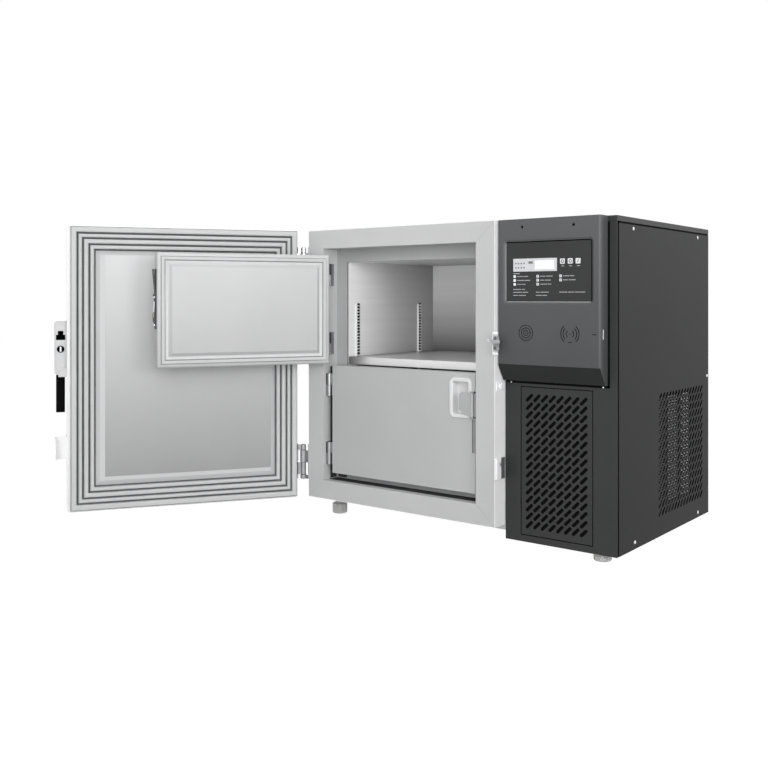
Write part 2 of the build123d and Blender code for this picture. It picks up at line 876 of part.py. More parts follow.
def control_bezel():
    """Moulded hood with a display window, bolt holes and speaker holes, hollow behind."""
    hood = sideways(bezel_outline(0), housing_left, bezel_right)
    corners = [edge for edge in hood.edges().filter_by(Axis.Z) if abs(edge.center().Y - bezel_front) < 0.01]
    hood = fillet(corners, bezel_round)
    hood -= sideways(bezel_outline(bezel_wall), housing_left + bezel_wall, bezel_right - bezel_wall)
    left, right = window_left, window_left + display_width
    low = window_top - display_height
    wide = oblong(left, right, low, window_top, display_round)
    tight = oblong(left + display_bevel, right - display_bevel, low + display_bevel,
                   window_top - display_bevel, display_round - display_bevel / 2)
    front = Plane((0, bezel_front, 0), x_dir=(1, 0, 0), z_dir=(0, -1, 0))
    back = Plane((0, bezel_front + bezel_wall, 0), x_dir=(1, 0, 0), z_dir=(0, -1, 0))
    hood -= loft([front * wide, back * tight], ruled=True)
    middle = housing_left + bezel_width / 2
    through = (bezel_front - 1, bezel_front + bezel_wall + 1)
    for side in (-1, 1):
        hood -= level(middle + side * bezel_hole_spread / 2, *through, cabinet_top - bezel_hole_drop,
                      bezel_hole_radius)
    centre = Pos(housing_left + speaker_x, cabinet_top - speaker_drop)
    for place in PolarLocations(speaker_ring, speaker_holes):
        hood -= facing(centre * place * RegularPolygon(speaker_hole_radius, 6), *through)
    h, w = usb_height / 2, usb_width / 2
    return hood - block(bezel_right - bezel_wall - 1, bezel_right + 1, usb_back - w, usb_back + w,
                        usb_z - h, usb_z + h)


def panel_spot(across, drop):
    """A point on the display panel, measured from the window's left and top."""
    return window_left + across, window_top - drop


def key_spots():
    return [panel_spot(key_first + i * key_pitch, key_drop) for i in range(3)]


def square(spot, size):
    x, z = spot
    return oblong(x - size / 2, x + size / 2, z - size / 2, z + size / 2)


def lcd_outline(clear=0.0):
    x, z = panel_spot(lcd_left, lcd_drop)
    return oblong(x - clear, x + lcd_width + clear, z - lcd_height - clear, z + clear)


def display_panel():
    inset = display_bevel - display_overlap
    plate = oblong(window_left + inset, window_left + display_width - inset,
                   window_top - display_height + inset, window_top - inset)
    for spot in key_spots():
        plate -= square(spot, key_size + 2 * key_clear)
    plate -= lcd_outline()
    y = bezel_front + bezel_wall
    return facing(plate, y, y + display_plate)


def lcd_window():
    y = bezel_front + bezel_wall
    return facing(lcd_outline(), y - lcd_stand, y + display_plate)


def status_lamps():
    y = bezel_front + bezel_wall
    spots = [panel_spot(across, lamp_drop + i * lamp_pitch) for across, count in zip(lamp_across, lamp_rows)
             for i in range(count)]
    return [facing(square(spot, lamp_size), y - lamp_thick, y) for spot in spots]


def key(spot):
    """Square key through the panel, held by a flange behind it."""
    y = bezel_front + bezel_wall
    rear = y + display_plate + key_travel_room
    stem = facing(square(spot, key_size), y - key_stand, rear + key_flange)
    return stem + facing(square(spot, key_size + 2 * key_flange_reach), rear, rear + key_flange)


def usb_port():
    h, w = usb_height / 2 - usb_clear, usb_width / 2 - usb_clear
    return block(bezel_right - usb_depth, bezel_right, usb_back - w, usb_back + w, usb_z - h, usb_z + h)


def panel_screws():
    """Button heads on the side panel, and two under the bezel."""
    octagon = RegularPolygon(screw_radius, 8)
    spots = [*front_screws, *[(housing_back - inset, z) for inset, z in rear_screws]]
    shapes = [sideways(Pos(*spot) * octagon, housing_right, housing_right + screw_head) for spot in spots]
    below = bezel_bottom - screw_radius
    for x in (housing_left + 2 * bezel_round + screw_radius, bezel_right - 2 * bezel_round):
        head = Pos(x, below) * RegularPolygon(screw_radius / 2, 8)
        shapes.append(facing(head, housing_setback - screw_head, housing_setback))
    return shapes


# Refrigeration

def condenser():
    """Finned block between two end plates, standing on the front rail."""
    x0, x1 = fan_x - condenser_width / 2, fan_x + condenser_width / 2
    y0, y1 = condenser_front, condenser_front + condenser_depth
    low, high = cabinet_lift, cabinet_lift + condenser_height
    lip = condenser_end
    core = block(x0 + lip, x1 - lip, y0 + lip, y1 - lip, low + lip, high - lip)
    ends = [block(x, x + lip, y0, y1, low, high) for x in (x0, x1 - lip)]
    return core + ends


def fan_shroud():
    """Sheet behind the condenser with the fan's ring, and three arms that carry the motor."""
    high = cabinet_lift + condenser_height
    wall = oblong(housing_left + shroud_margin, housing_right - 2 * shroud_margin, panel_sheet, high)
    ring_radius = fan_radius + fan_tip_clear
    hole = Pos(fan_x, fan_height) * Circle(ring_radius)
    plate = facing(wall - hole, shroud_y, shroud_y + shroud_sheet)
    rear = motor_front()
    ring = Pos(fan_x, fan_height) * (Circle(ring_radius + shroud_sheet) - Circle(ring_radius))
    plate += facing(ring, shroud_y, rear)
    for turn in (90, 210, 330):
        arm = Pos((motor_radius + ring_radius + shroud_sheet) / 2, 0) * Rectangle(
            ring_radius + shroud_sheet - motor_radius, motor_arm)
        plate += facing(Pos(fan_x, fan_height) * Rot(0, 0, turn) * arm, rear, rear + motor_arm)
    return plate


def motor_front():
    return shroud_y + fan_gap + fan_depth + fan_gap


def fan_motor():
    y = motor_front()
    body = level(fan_x, y, y + motor_length, fan_height, motor_radius)
    return body - level(fan_x, y - 1, y + motor_length / 2, fan_height, shaft_radius + shaft_clear)


def condenser_fan():
    """Hub with pitched blades on a shaft that runs in the motor."""
    y0 = shroud_y + fan_gap
    y1 = y0 + fan_depth
    fan = level(fan_x, y0, y1, fan_height, fan_hub_radius)
    fan += level(fan_x, y1, motor_front() + motor_length / 2 - 1, fan_height, shaft_radius)
    length = fan_radius - fan_hub_radius / 2
    blade = Pos(fan_hub_radius / 2 + length / 2, 0, 0) * Rot(fan_blade_pitch, 0, 0) * Box(
        length, fan_blade_thick, fan_blade_width)
    for i in range(fan_blades):
        fan += Pos(fan_x, (y0 + y1) / 2, fan_height) * Rot(0, 360 / fan_blades * i, 0) * blade
    return fan


def compressor():
    """Welded steel can with a conical crown on a foot plate, turned from a half section."""
    r, d = compressor_radius, compressor_dome
    low, high = compressor_foot, compressor_foot + compressor_height
    half = polygon((0, low), (r, low), (r, high - d), (r - d, high), (0, high))
    can = revolve(Plane.XZ * half, Axis.Z)
    plate = block(-r, r, -r, r, panel_sheet, low)
    return Pos(fan_x, compressor_y, 0) * (can + plate)


def refrigerant_circuit():
    """Accumulator, discharge line to the condenser, suction line, and the evaporator."""
    top = compressor_foot + compressor_height
    stub = (compressor_radius - compressor_dome) / 2
    tank = upright(accumulator_x, foot_rear_y, cabinet_lift, accumulator_height, accumulator_radius)
    tank = chamfer(tank.edges().sort_by(Axis.Z)[-1], accumulator_radius / 3)
    condenser_top = cabinet_lift + condenser_height
    high, loop = max(top, condenser_top) + pipe_rise, max(top, accumulator_height) + pipe_rise
    front, near, far = condenser_front + condenser_depth / 2, compressor_y - stub, compressor_y + stub
    x0, x1 = fan_x - stub, fan_x + stub
    discharge = mitred_tube(pipe_radius, (x1, near, top), (x1, near, high), (x1, front, high),
                            (x1, front, condenser_top))
    suction = mitred_tube(pipe_radius, (accumulator_x, foot_rear_y, accumulator_height),
                          (accumulator_x, foot_rear_y, loop), (x0, foot_rear_y, loop), (x0, far, loop),
                          (x0, far, top))
    return [tank, discharge, suction, evaporator()]


def control_box():
    """Steel box for the controller, bolted behind the front panel."""
    x0 = fan_x - control_box_width / 2
    y0 = housing_setback + panel_sheet
    box = block(x0, x0 + control_box_width, y0, y0 + control_box_depth,
                control_box_bottom, control_box_bottom + control_box_height)
    hollow = block(x0 + skin, x0 + control_box_width - skin, y0 + skin, y0 + control_box_depth - skin,
                   control_box_bottom + skin, control_box_bottom + control_box_height - skin)
    return box - hollow


# Outer door, closed

def door_frame():
    """Outline of the grey inner side of the door, as x0, x1, z0, z1."""
    return door_edge, cabinet_width, cabinet_lift, cabinet_top


def door_outline():
    return 0, door_free_x, cabinet_lift - door_lap, cabinet_top + door_lap


def door_skin():
    x0, x1, z0, z1 = door_outline()
    back = door_inner_y - door_liner_sheet / 2
    shell = facing(oblong(x0, x1, z0, z1, door_round), door_outer_y, back)
    shell = chamfer(shell.faces().sort_by(Axis.Y)[0].edges(), door_round / 3)
    inside = oblong(x0 + skin, x1 - skin, z0 + skin, z1 - skin, door_round - skin)
    shell -= facing(inside, door_outer_y + skin, back - skin)
    f0, f1, g0, g1 = door_frame()
    return shell - block(f0, f1, back - 2 * skin, back + 1, g0, g1)


def door_core():
    x0, x1, z0, z1 = door_outline()
    inside = oblong(x0 + skin, x1 - skin, z0 + skin, z1 - skin, door_round - skin)
    return facing(inside, door_outer_y + skin, door_inner_y - door_liner_sheet / 2 - skin)


def door_liner():
    """Formed inner sheet with a bevelled plug inside the seal."""
    x0, x1, z0, z1 = door_frame()
    back = door_inner_y - door_liner_sheet / 2 - skin
    sheet = block(x0, x1, back, door_inner_y, z0, z1)
    i = plug_inset
    plug = bevelled_plug(x0 + i, x1 - i, z0 + i, z1 - i, plug_bevel, door_inner_y, door_inner_y + plug_rise)
    return sheet + plug


def door_gasket():
    """Seal with several ribs, one section mitred round the door."""
    base, crown, top = door_inner_y + seal_base, seal_crown, -seal_clear
    first, last = seal_ribs[0][0], seal_ribs[-1][1]
    outline = [(last, door_inner_y), (first, door_inner_y)]
    for t0, t1 in seal_ribs:
        outline += [(t0, base), (t0, top - crown), (t0 + crown, top), (t1 - crown, top),
                    (t1, top - crown), (t1, base)]
    outline = outline[:2] + outline[3:-1]
    return mitred_ring(*door_frame(), polygon(*outline))


def handle_housing():
    """Hollow latch case past the door's free edge, with a plate on the front and a clip at the rear."""
    x0, x1 = door_free_x, handle_x
    low, high = handle_bottom, handle_bottom + handle_height
    front, rear, w = door_outer_y - handle_proud, -handle_rear, handle_wall
    case = facing(oblong(x0, x1, low, high), front, rear)
    case = chamfer(case.edges().filter_by(Axis.Y), handle_round)
    plate = facing(oblong(x0 - handle_plate_width, x0 + handle_wall, low, high), front, door_outer_y)
    clip = block(x0, x0 + clip_block_width, rear, rear + clip_block_depth,
                 low - clip_block_drop, low - clip_block_drop + clip_block_height)
    case += plate
    case += clip
    case -= block(x0 + w, x1 - w, front + w, rear - w, low - 1, high - w)
    case -= block(x0 + w, x1 - w, front - 1, front + 2 * w, low - 1, low + handle_notch)
    foot, brim = socket_z - socket_height / 2, socket_z + socket_height / 2
    left, right, step = x0 + w, x1 - w, socket_shoulder
    mouth = polygon((left, foot), (right, foot), (right, brim), (right - step, brim),
                    (right - step, brim + socket_crown), (left + step, brim + socket_crown),
                    (left + step, brim), (left, brim))
    case -= facing(mouth, rear - 2 * w, rear + 1)
    case -= level(lock_x(), front - 1, rear + 1, lock_z, lock_radius + lock_clear)
    pivot = (lever_pivot_y(), low + lever_pivot_rise)
    case -= crosswise(x0 - 1, x1 + 1, *pivot, lever_pin_radius + hinge_pin_clear)
    return case


def lock_x():
    return door_free_x + handle_overhang / 2


def lever_pivot_y():
    return door_outer_y - handle_proud + handle_wall + lever_tang


def latch_handle():
    """Grip below the case, on a tang with a level pivot pin inside it."""
    w = handle_wall + lever_side_clear
    x0, x1 = door_free_x + w, handle_x - w
    y, z = lever_pivot_y(), handle_bottom + lever_pivot_rise
    half = lever_tang / 2
    shoulder = handle_bottom - lever_shoulder
    grip = block(x0, x1, y - grip_depth / 2, y + grip_depth / 2, shoulder - grip_length, shoulder)
    grip = chamfer(grip.edges().filter_by(Axis.Z), grip_round)
    tang = block(x0, x1, y - half, y + half, shoulder, z) + crosswise(x0, x1, y, z, half)
    pin = crosswise(door_free_x, handle_x, y, z, lever_pin_radius)
    return grip + tang + pin


def lock_cylinder():
    """Key lock through the case, slotted at both ends."""
    front, rear = door_outer_y - handle_proud - lock_proud, -handle_rear + lock_proud
    barrel = level(lock_x(), front, rear, lock_z, lock_radius)
    half = key_slot_width / 2
    for y in (front, rear - key_slot_depth):
        barrel -= block(lock_x() - half, lock_x() + half, y, y + key_slot_depth,
                        lock_z - key_slot_length / 2, lock_z + key_slot_length / 2)
    return barrel


def door_hasp():
    """Padlock eye on the door: a leg on its edge, a plate past the edge and a lip with the hole."""
    x0, x1, s = door_free_x, handle_x - hasp_sheet, hasp_sheet
    y = door_inner_y - s
    lip = y + door_hasp_lip
    leg = y - door_hasp_leg
    step = polygon((x0, leg), (x0 + s, leg), (x0 + s, y - s), (x1, y - s), (x1, lip),
                   (x1 - s, lip), (x1 - s, y), (x0, y))
    plate = extrude(Pos(0, 0, door_hasp_bottom) * step, door_hasp_height)
    hole_z = (door_hasp_bottom + cabinet_hasp_bottom + cabinet_hasp_height) / 2
    return plate - crosswise(x1 - 2 * s, x1 + s, hasp_hole_y, hole_z, hasp_hole_radius)


# Inner doors, closed

def inner_panel(bottom):
    """Insulated panel with rounded rear edges, a bevelled plug behind and a pocket for the handle cup."""
    x0, x1, z0, z1 = inner_left, inner_right, bottom, bottom + inner_height
    panel = block(x0, x1, inner_hinge_y, inner_back, z0, z1)
    panel = fillet(panel.faces().sort_by(Axis.Y)[-1].edges(), inner_round)
    i = inner_plug_inset
    panel += bevelled_plug(x0 + i, x1 - i, z0 + i, z1 - i, inner_plug_bevel, inner_back,
                           inner_back + inner_plug_rise)
    inner = cup_box(bottom, cup_rim - cup_wall - cup_clear)
    return panel - facing(oblong(*inner), inner_hinge_y - 1, inner_hinge_y + cup_depth + cup_clear)


def cup_box(bottom, inset=0.0):
    """Outline of the handle cup's rim, drawn in by the inset."""
    right = inner_right - cup_right
    low = bottom + cup_bottom
    return right - cup_width + inset, right - inset, low + inset, low + cup_height - inset


def inner_cup(bottom):
    """Moulded finger cup: a rounded rim on the face, and a tub in the panel's pocket."""
    y = inner_hinge_y
    rim = facing(oblong(*cup_box(bottom), cup_round), y - cup_proud, y)
    tub = facing(oblong(*cup_box(bottom, cup_rim - cup_wall)), y, y + cup_depth)
    hollow = facing(oblong(*cup_box(bottom, cup_rim)), y - cup_proud - 1, y + cup_depth - cup_wall)
    return rim + tub - hollow


def inner_gasket(bottom):
    """Flat seal behind the panel's edge, mitred at the corners."""
    t0 = inner_seal_inset
    t1 = t0 + inner_seal_width
    y0, y1, c = inner_back, jamb_depth - inner_seal_clear, inner_seal_crown
    section = polygon((t0, y0), (t1, y0), (t1, y1 - c), (t1 - c, y1), (t0 + c, y1), (t0, y1 - c))
    return mitred_ring(inner_left, inner_right, bottom, bottom + inner_height, section)


def paddle_pivot():
    return inner_right - paddle_pin_inset, inner_hinge_y - paddle_ahead


def inner_catch(bottom):
    """Spring catch on the door's free edge: plate, leaf spring, roller, wedge, and ears for the paddle."""
    x, low = inner_right, bottom + catch_bottom
    high = low + catch_height
    y0 = inner_hinge_y + catch_front
    y1 = y0 + catch_width
    out = catch_stand - spring_thick
    root, inside = high - spring_length, x + catch_plate / 2
    catch = block(x, x + catch_plate, y0, y1, low, high)
    spring = polygon((inside, root), (inside + spring_thick, root), (x + catch_stand, high), (x + out, high))
    catch += facing(spring, y0 + catch_plate, y1 - catch_plate)
    wedge = polygon((inside, low + catch_plate), (x + out, low + catch_ramp),
                    (x + out / 2, root - 2 * roller_radius), (inside, root - 2 * roller_radius))
    catch += facing(wedge, y0 + 2 * catch_plate, y1 - 2 * catch_plate)
    catch += level(x + catch_plate + roller_radius / 2, y0 + catch_plate, y1 - catch_plate,
                   root - roller_radius / 2, roller_radius)
    px, py = paddle_pivot()
    base = bottom + paddle_bottom
    for z in (base - paddle_ear, base + paddle_height):
        catch += block(px - paddle_barrel_radius, x + catch_plate, py - paddle_barrel_radius,
                       inner_hinge_y, z, z + paddle_ear)
        catch += block(x, x + catch_plate, inner_hinge_y, y0, z, z + paddle_ear)
    catch += upright(px, py, base - paddle_ear, base + paddle_height + paddle_ear, paddle_pin_radius)
    return catch


def inner_paddle(bottom):
    """Latch paddle over the cup's right half: a barrel on an upright pin and a slanted lower corner."""
    px, py = paddle_pivot()
    low = bottom + paddle_bottom + paddle_gap
    high = bottom + paddle_bottom + paddle_height - paddle_gap
    left = inner_right - paddle_width
    shape = polygon((px, low), (px, high), (left + paddle_cut / 3, high), (left, high - paddle_cut / 3),
                    (left, low + paddle_cut), (left + paddle_cut, low + paddle_cut / 3))
    plate = facing(shape, py - paddle_thick / 2, py + paddle_thick / 2)
    plate += upright(px, py, low, high, paddle_barrel_radius)
    return plate - upright(px, py, low - 1, high + 1, paddle_pin_radius + hinge_pin_clear)


os.makedirs("parts", exist_ok=True)

write("cabinet_shell", cabinet_shell())
write("front_frame", *front_frame())
write("inner_flange", *inner_flange())
write("inner_liner", *inner_liner())
write("insulation_panels", *insulation_panels())
write("shelf_supports", *shelf_standards(), *shelf_clips())
write("shelf", shelf())
write("base_frame", *base_frame())
write("feet", *feet())
write("hinge_brackets", *outer_hinges(cabinet_leaf))
write("inner_hinge_brackets", *[inner_bracket(z) for bottom in inner_bottoms.values()
                                for z in inner_hinge_spans(bottom)])
write("hinge_pins", *hinge_pins())
write("latch_keeper", latch_keeper())
write("cabinet_hasp", cabinet_hasp())
write("pressure_port", pressure_port())

write("machine_base", machine_base())
write("front_panel", front_panel())
write("front_grille", front_grille())
write("air_filter", air_filter())
write("side_panel", side_panel())
write("vent_posts", *vent_posts())
write("top_cover", top_cover())
write("rear_panel", rear_panel())
write("power_inlet", power_inlet())
write("control_bezel", control_bezel())
write("display_panel", display_panel())
write("lcd_window", lcd_window())
write("status_lamps", *status_lamps())
for name, spot in zip(("key_left", "key_middle", "key_right"), key_spots()):
    write(name, key(spot))
write("usb_port", usb_port())
write("panel_screws", *panel_screws())

write("condenser", condenser())
write("fan_shroud", fan_shroud())
write("fan_motor", fan_motor())
write("condenser_fan", condenser_fan())
write("compressor", compressor())
write("refrigerant_circuit", *refrigerant_circuit())
write("control_box", control_box())

write("door_skin", outer_open(door_skin()))
write("door_core", outer_open(door_core()))
write("door_liner", outer_open(door_liner()))
write("door_gasket", outer_open(door_gasket()))
write("door_hinge_leaves", *[outer_open(leaf) for leaf in outer_hinges(door_leaf)])
write("handle_housing", outer_open(handle_housing()))
write("latch_handle", outer_open(latch_handle()))
write("lock_cylinder", outer_open(lock_cylinder()))
write("door_hasp", outer_open(door_hasp()))

for side, bottom in inner_bottoms.items():
    turn = inner_open if side == "upper" else as_drawn
    write(f"{side}_inner_door", turn(inner_panel(bottom)))
    write(f"{side}_inner_gasket", turn(inner_gasket(bottom)))
    leaves = [turn(inner_leaf_piece(z)) for z in inner_hinge_spans(bottom)]
    write(f"{side}_inner_fittings", *leaves, turn(inner_catch(bottom)))
    write(f"{side}_inner_cup", turn(inner_cup(bottom)))
    write(f"{side}_latch_paddle", turn(inner_paddle(bottom)))
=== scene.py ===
# %% [markdown]
# # An ultra low temperature freezer, dressed for the camera
# The solids of the freezer come packed as a fixed frame: cabinet, doors, latches, housing. This lesson
# gives each of them a finish, and adds the forms that plain solids lack: seals with soft ribs, punched
# vents, turned hinges, moulded handles and the marks on the control panel. Every shape is a numpy array.

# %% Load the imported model
from math import radians

import bmesh
import bpy
import numpy as np
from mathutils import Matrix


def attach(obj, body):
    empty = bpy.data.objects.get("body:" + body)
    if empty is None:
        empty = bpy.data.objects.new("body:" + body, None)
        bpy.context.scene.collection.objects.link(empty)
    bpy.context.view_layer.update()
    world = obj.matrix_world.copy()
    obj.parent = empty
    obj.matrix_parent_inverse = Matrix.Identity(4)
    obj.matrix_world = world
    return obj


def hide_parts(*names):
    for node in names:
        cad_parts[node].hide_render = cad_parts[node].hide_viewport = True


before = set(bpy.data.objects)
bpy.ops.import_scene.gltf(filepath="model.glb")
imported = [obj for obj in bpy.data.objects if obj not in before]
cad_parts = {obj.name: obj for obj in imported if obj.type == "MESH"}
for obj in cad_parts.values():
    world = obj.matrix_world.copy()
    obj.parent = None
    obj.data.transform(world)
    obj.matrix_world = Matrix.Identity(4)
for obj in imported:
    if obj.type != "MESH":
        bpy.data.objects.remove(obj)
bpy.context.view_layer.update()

# %% [markdown]
# Sizes below are millimetres on the drawing: X from the cabinet's left side, Y from the face of the front
# frame towards the back, Z from the underside of the housing. The doors are drawn closed, where their
# edges are square to the axes, and `placed` swings them open and shifts everything to the row's origin.

# %% From the drawing to the row frame
DRAWING_ORIGIN = np.array([-396.0, -282.0, 20.0])
OUTER_HINGE = ((-13.5, -4.0), 123.0)
INNER_HINGE = ((57.5, 12.0), 119.0)
SWUNG = {"outer_door": OUTER_HINGE, "latch_handle": OUTER_HINGE, "lock": OUTER_HINGE,
         "upper_door": INNER_HINGE, "upper_latch": INNER_HINGE}


def placed(points, body):
    """Turn points about their door's upright hinge line: x' = x cos a + y sin a, y' = y cos a - x sin a."""
    points = np.array(points, float).reshape(-1, 3)
    if body in SWUNG:
        pivot, angle = SWUNG[body]
        c, s = np.cos(radians(angle)), np.sin(radians(angle))
        x, y = (points[:, :2] - pivot).T
        points[:, :2] = np.stack([x * c + y * s, y * c - x * s], 1) + pivot
    return (points + DRAWING_ORIGIN) / 1000


def piece(name, shape, paint, body, stands_for=(), smooth=None, bevel=0.0):
    """One mesh from (points, faces): merged, faced outwards, smooth below an angle, hung on its body."""
    points, faces = shape
    mesh = bpy.data.meshes.new(name)
    mesh.from_pydata(placed(points, body).tolist(), [], [list(face) for face in faces])
    work = bmesh.new()
    work.from_mesh(mesh)
    bmesh.ops.remove_doubles(work, verts=work.verts, dist=1e-6)
    bmesh.ops.recalc_face_normals(work, faces=work.faces)
    work.to_mesh(mesh)
    work.free()
    thing = bpy.data.objects.new(name, mesh)
    bpy.context.scene.collection.objects.link(thing)
    mesh.materials.append(paint)
    if bevel:
        edge = thing.modifiers.new("edge", "BEVEL")
        edge.width, edge.segments, edge.limit_method = bevel / 1000, 2, "ANGLE"
    if smooth or bevel:
        mesh.shade_smooth()
        mesh.set_sharp_from_angle(angle=radians(smooth or 40))
        even = thing.modifiers.new("even", "WEIGHTED_NORMAL")
        even.keep_sharp = True
    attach(thing, body)
    if stands_for:
        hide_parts(*stands_for)
    print(name, len(mesh.polygons), "faces on", body)


# %% [markdown]
# A surface here is a grid of points with one row per value of u and one column per value of v. `quads`
# joins neighbours, and closes the grid on itself where a tube or a ring needs it. `joined` puts several
# shapes into one mesh, and `blocks` lists plain boxes whose edges a bevel softens later.

# %% Grids, boxes and turned forms
def quads(rows, columns, ring_u=False, ring_v=True):
    """Faces of a grid: cell (i, j) joins points i, i+1 and j, j+1, counted round where the grid closes."""
    i, j = np.meshgrid(np.arange(rows if ring_u else rows - 1), np.arange(columns if ring_v else columns - 1),
                       indexing="ij")
    near, far = (i % rows) * columns, ((i + 1) % rows) * columns
    left, right = j % columns, (j + 1) % columns
    return np.stack([near + left, near + right, far + right, far + left], -1).reshape(-1, 4)


def joined(*shapes):
    """Several (points, faces) as one, each face counted on from the points before it."""
    points, faces, start = [], [], 0
    for some, cells in shapes:
        some = np.asarray(some, float).reshape(-1, 3)
        points.append(some)
        faces += [[start + index for index in cell] for cell in cells]
        start += len(some)
    return np.concatenate(points), faces


CORNERS = np.array([[x, y, z] for x in (0, 1) for y in (0, 1) for z in (0, 1)], float)
SIDES = np.array([[0, 1, 3, 2], [4, 6, 7, 5], [0, 4, 5, 1], [2, 3, 7, 6], [0, 2, 6, 4], [1, 5, 7, 3]])


def blocks(*boxes):
    """Boxes given as x0, x1, y0, y1, z0, z1: corner = low + share * (high - low)."""
    return joined(*[(np.array(box[::2]) + CORNERS * (np.array(box[1::2]) - np.array(box[::2])), SIDES)
                    for box in boxes])


def turned(profile, centre, axis="z", steps=48):
    """Profile of (radius, height) carried round an axis: radius * (cos v, sin v), closed by flat ends."""
    profile = np.array(profile, float)
    v = np.linspace(0, 2 * np.pi, steps, endpoint=False)
    radius, height = profile[:, :1], profile[:, 1:]
    a, b, h = radius * np.cos(v), radius * np.sin(v), height + 0 * v
    points = np.stack({"x": (h, a, b), "y": (a, h, b), "z": (a, b, h)}[axis], -1) + centre
    count = len(profile)
    ends = [list(range(steps)), list(range((count - 1) * steps, count * steps))]
    return points.reshape(-1, 3), quads(count, steps).tolist() + ends


def barrel(radius, low, high, chamfer=0.6):
    """Profile of a round bar with a small chamfer at each end."""
    return [(radius - chamfer, low), (radius, low + chamfer),
            (radius, high - chamfer), (radius - chamfer, high)]


# %% [markdown]
# ## Camera, floor and light
# The camera was worked out from the straight edges in the photograph: it stands a little lower than the
# freezer's top, turned 38 degrees to the right, and the picture is shifted so that upright edges stay
# upright. White comes from what the camera sees behind the object, and the lamps stay soft and plain: five
# in front, and two behind so that the back does not sink into grey.

# %% Camera
camera = bpy.data.objects.new("camera", bpy.data.cameras.new("camera"))
bpy.context.scene.collection.objects.link(camera)
camera.data.lens, camera.data.sensor_width, camera.data.shift_y = 44.6, 36.0, -0.1115
camera.location = (np.array([1592.0, -1735.0, 517.0]) + DRAWING_ORIGIN) / 1000
camera.rotation_euler = (radians(90), 0, radians(38.01))
bpy.context.scene.camera = camera
bpy.context.scene.view_settings.view_transform = "Standard"


# %% White behind, soft light around
def seen_directly(nodes, links):
    """1 for rays from the camera or off a mirror or through glass, 0 for the rays that light the object."""
    path = nodes.new("ShaderNodeLightPath")
    total = path.outputs["Is Camera Ray"]
    for kind in ("Is Glossy Ray", "Is Transmission Ray"):
        add = nodes.new("ShaderNodeMath")
        add.operation, add.use_clamp = "ADD", True
        links.new(total, add.inputs[0])
        links.new(path.outputs[kind], add.inputs[1])
        total = add.outputs[0]
    return total


SKY_LIGHT = 0.272
world = bpy.data.worlds.new("studio")
bpy.context.scene.world = world
world.use_nodes = True
nodes, links = world.node_tree.nodes, world.node_tree.links
level = nodes.new("ShaderNodeMapRange")
level.inputs["To Min"].default_value, level.inputs["To Max"].default_value = SKY_LIGHT, 1.0
links.new(seen_directly(nodes, links), level.inputs["Value"])
links.new(level.outputs["Result"], nodes["Background"].inputs["Strength"])
nodes["Background"].inputs["Color"].default_value = (1, 1, 1, 1)
print("sky lights at", SKY_LIGHT)

# %% A pale floor
FLOOR_GLOW, FLOOR_GLOW_SHARE, FLOOR_REACH = 1.06, 0.94, 9
floor_paint = bpy.data.materials.new("pale_floor")
floor_paint.use_nodes = True
nodes, links = floor_paint.node_tree.nodes, floor_paint.node_tree.links
shader = nodes["Principled BSDF"]
shader.inputs["Base Color"].default_value = (0.4, 0.4, 0.4, 1)
shader.inputs["Roughness"].default_value = 0.9
glow = nodes.new("ShaderNodeEmission")
glow.inputs["Strength"].default_value = FLOOR_GLOW
share = nodes.new("ShaderNodeMath")
share.operation = "MULTIPLY"
share.inputs[1].default_value = FLOOR_GLOW_SHARE
mix = nodes.new("ShaderNodeMixShader")
links.new(seen_directly(nodes, links), share.inputs[0])
links.new(share.outputs[0], mix.inputs[0])
links.new(shader.outputs[0], mix.inputs[1])
links.new(glow.outputs[0], mix.inputs[2])
links.new(mix.outputs[0], nodes["Material Output"].inputs["Surface"])
mesh = bpy.data.meshes.new("floor")
corners = [(-FLOOR_REACH, -FLOOR_REACH, 0), (FLOOR_REACH, -FLOOR_REACH, 0),
           (FLOOR_REACH, FLOOR_REACH, 0), (-FLOOR_REACH, FLOOR_REACH, 0)]
mesh.from_pydata(corners, [], [(0, 1, 2, 3)])
floor = bpy.data.objects.new("floor", mesh)
bpy.context.scene.collection.objects.link(floor)
mesh.materials.append(floor_paint)
print("floor reaches", FLOOR_REACH, "m each way")

# %% Lamps: place, power and size
LAMP_AIM = np.array([-0.2, -0.2, 0.35])
LAMPS = {"key": ((1.35, -2.45, 1.1), 31.2, 1.8), "door_side": ((2.5, -1.3, 0.85), 20.8, 0.9),
         "left": ((-2.4, -2.0, 1.9), 7.2, 1.6), "over": ((-0.3, -1.0, 2.0), 6.4, 1.2),
         "low": ((1.1, -2.3, 0.45), 11.2, 1.2), "back": ((-1.9, 2.3, 1.7), 27, 2.0),
         "back_right": ((2.1, 2.0, 1.5), 13, 1.8)}
for name, (place, power, size) in LAMPS.items():
    lamp = bpy.data.objects.new(name, bpy.data.lights.new(name, "AREA"))
    bpy.context.scene.collection.objects.link(lamp)
    lamp.data.energy, lamp.data.size = power, size
    lamp.location = place
    aim = LAMP_AIM - place
    lamp.rotation_euler = (np.arctan2(np.hypot(*aim[:2]), -aim[2]), 0, np.arctan2(-aim[0], aim[1]))
print("lamps", list(LAMPS))
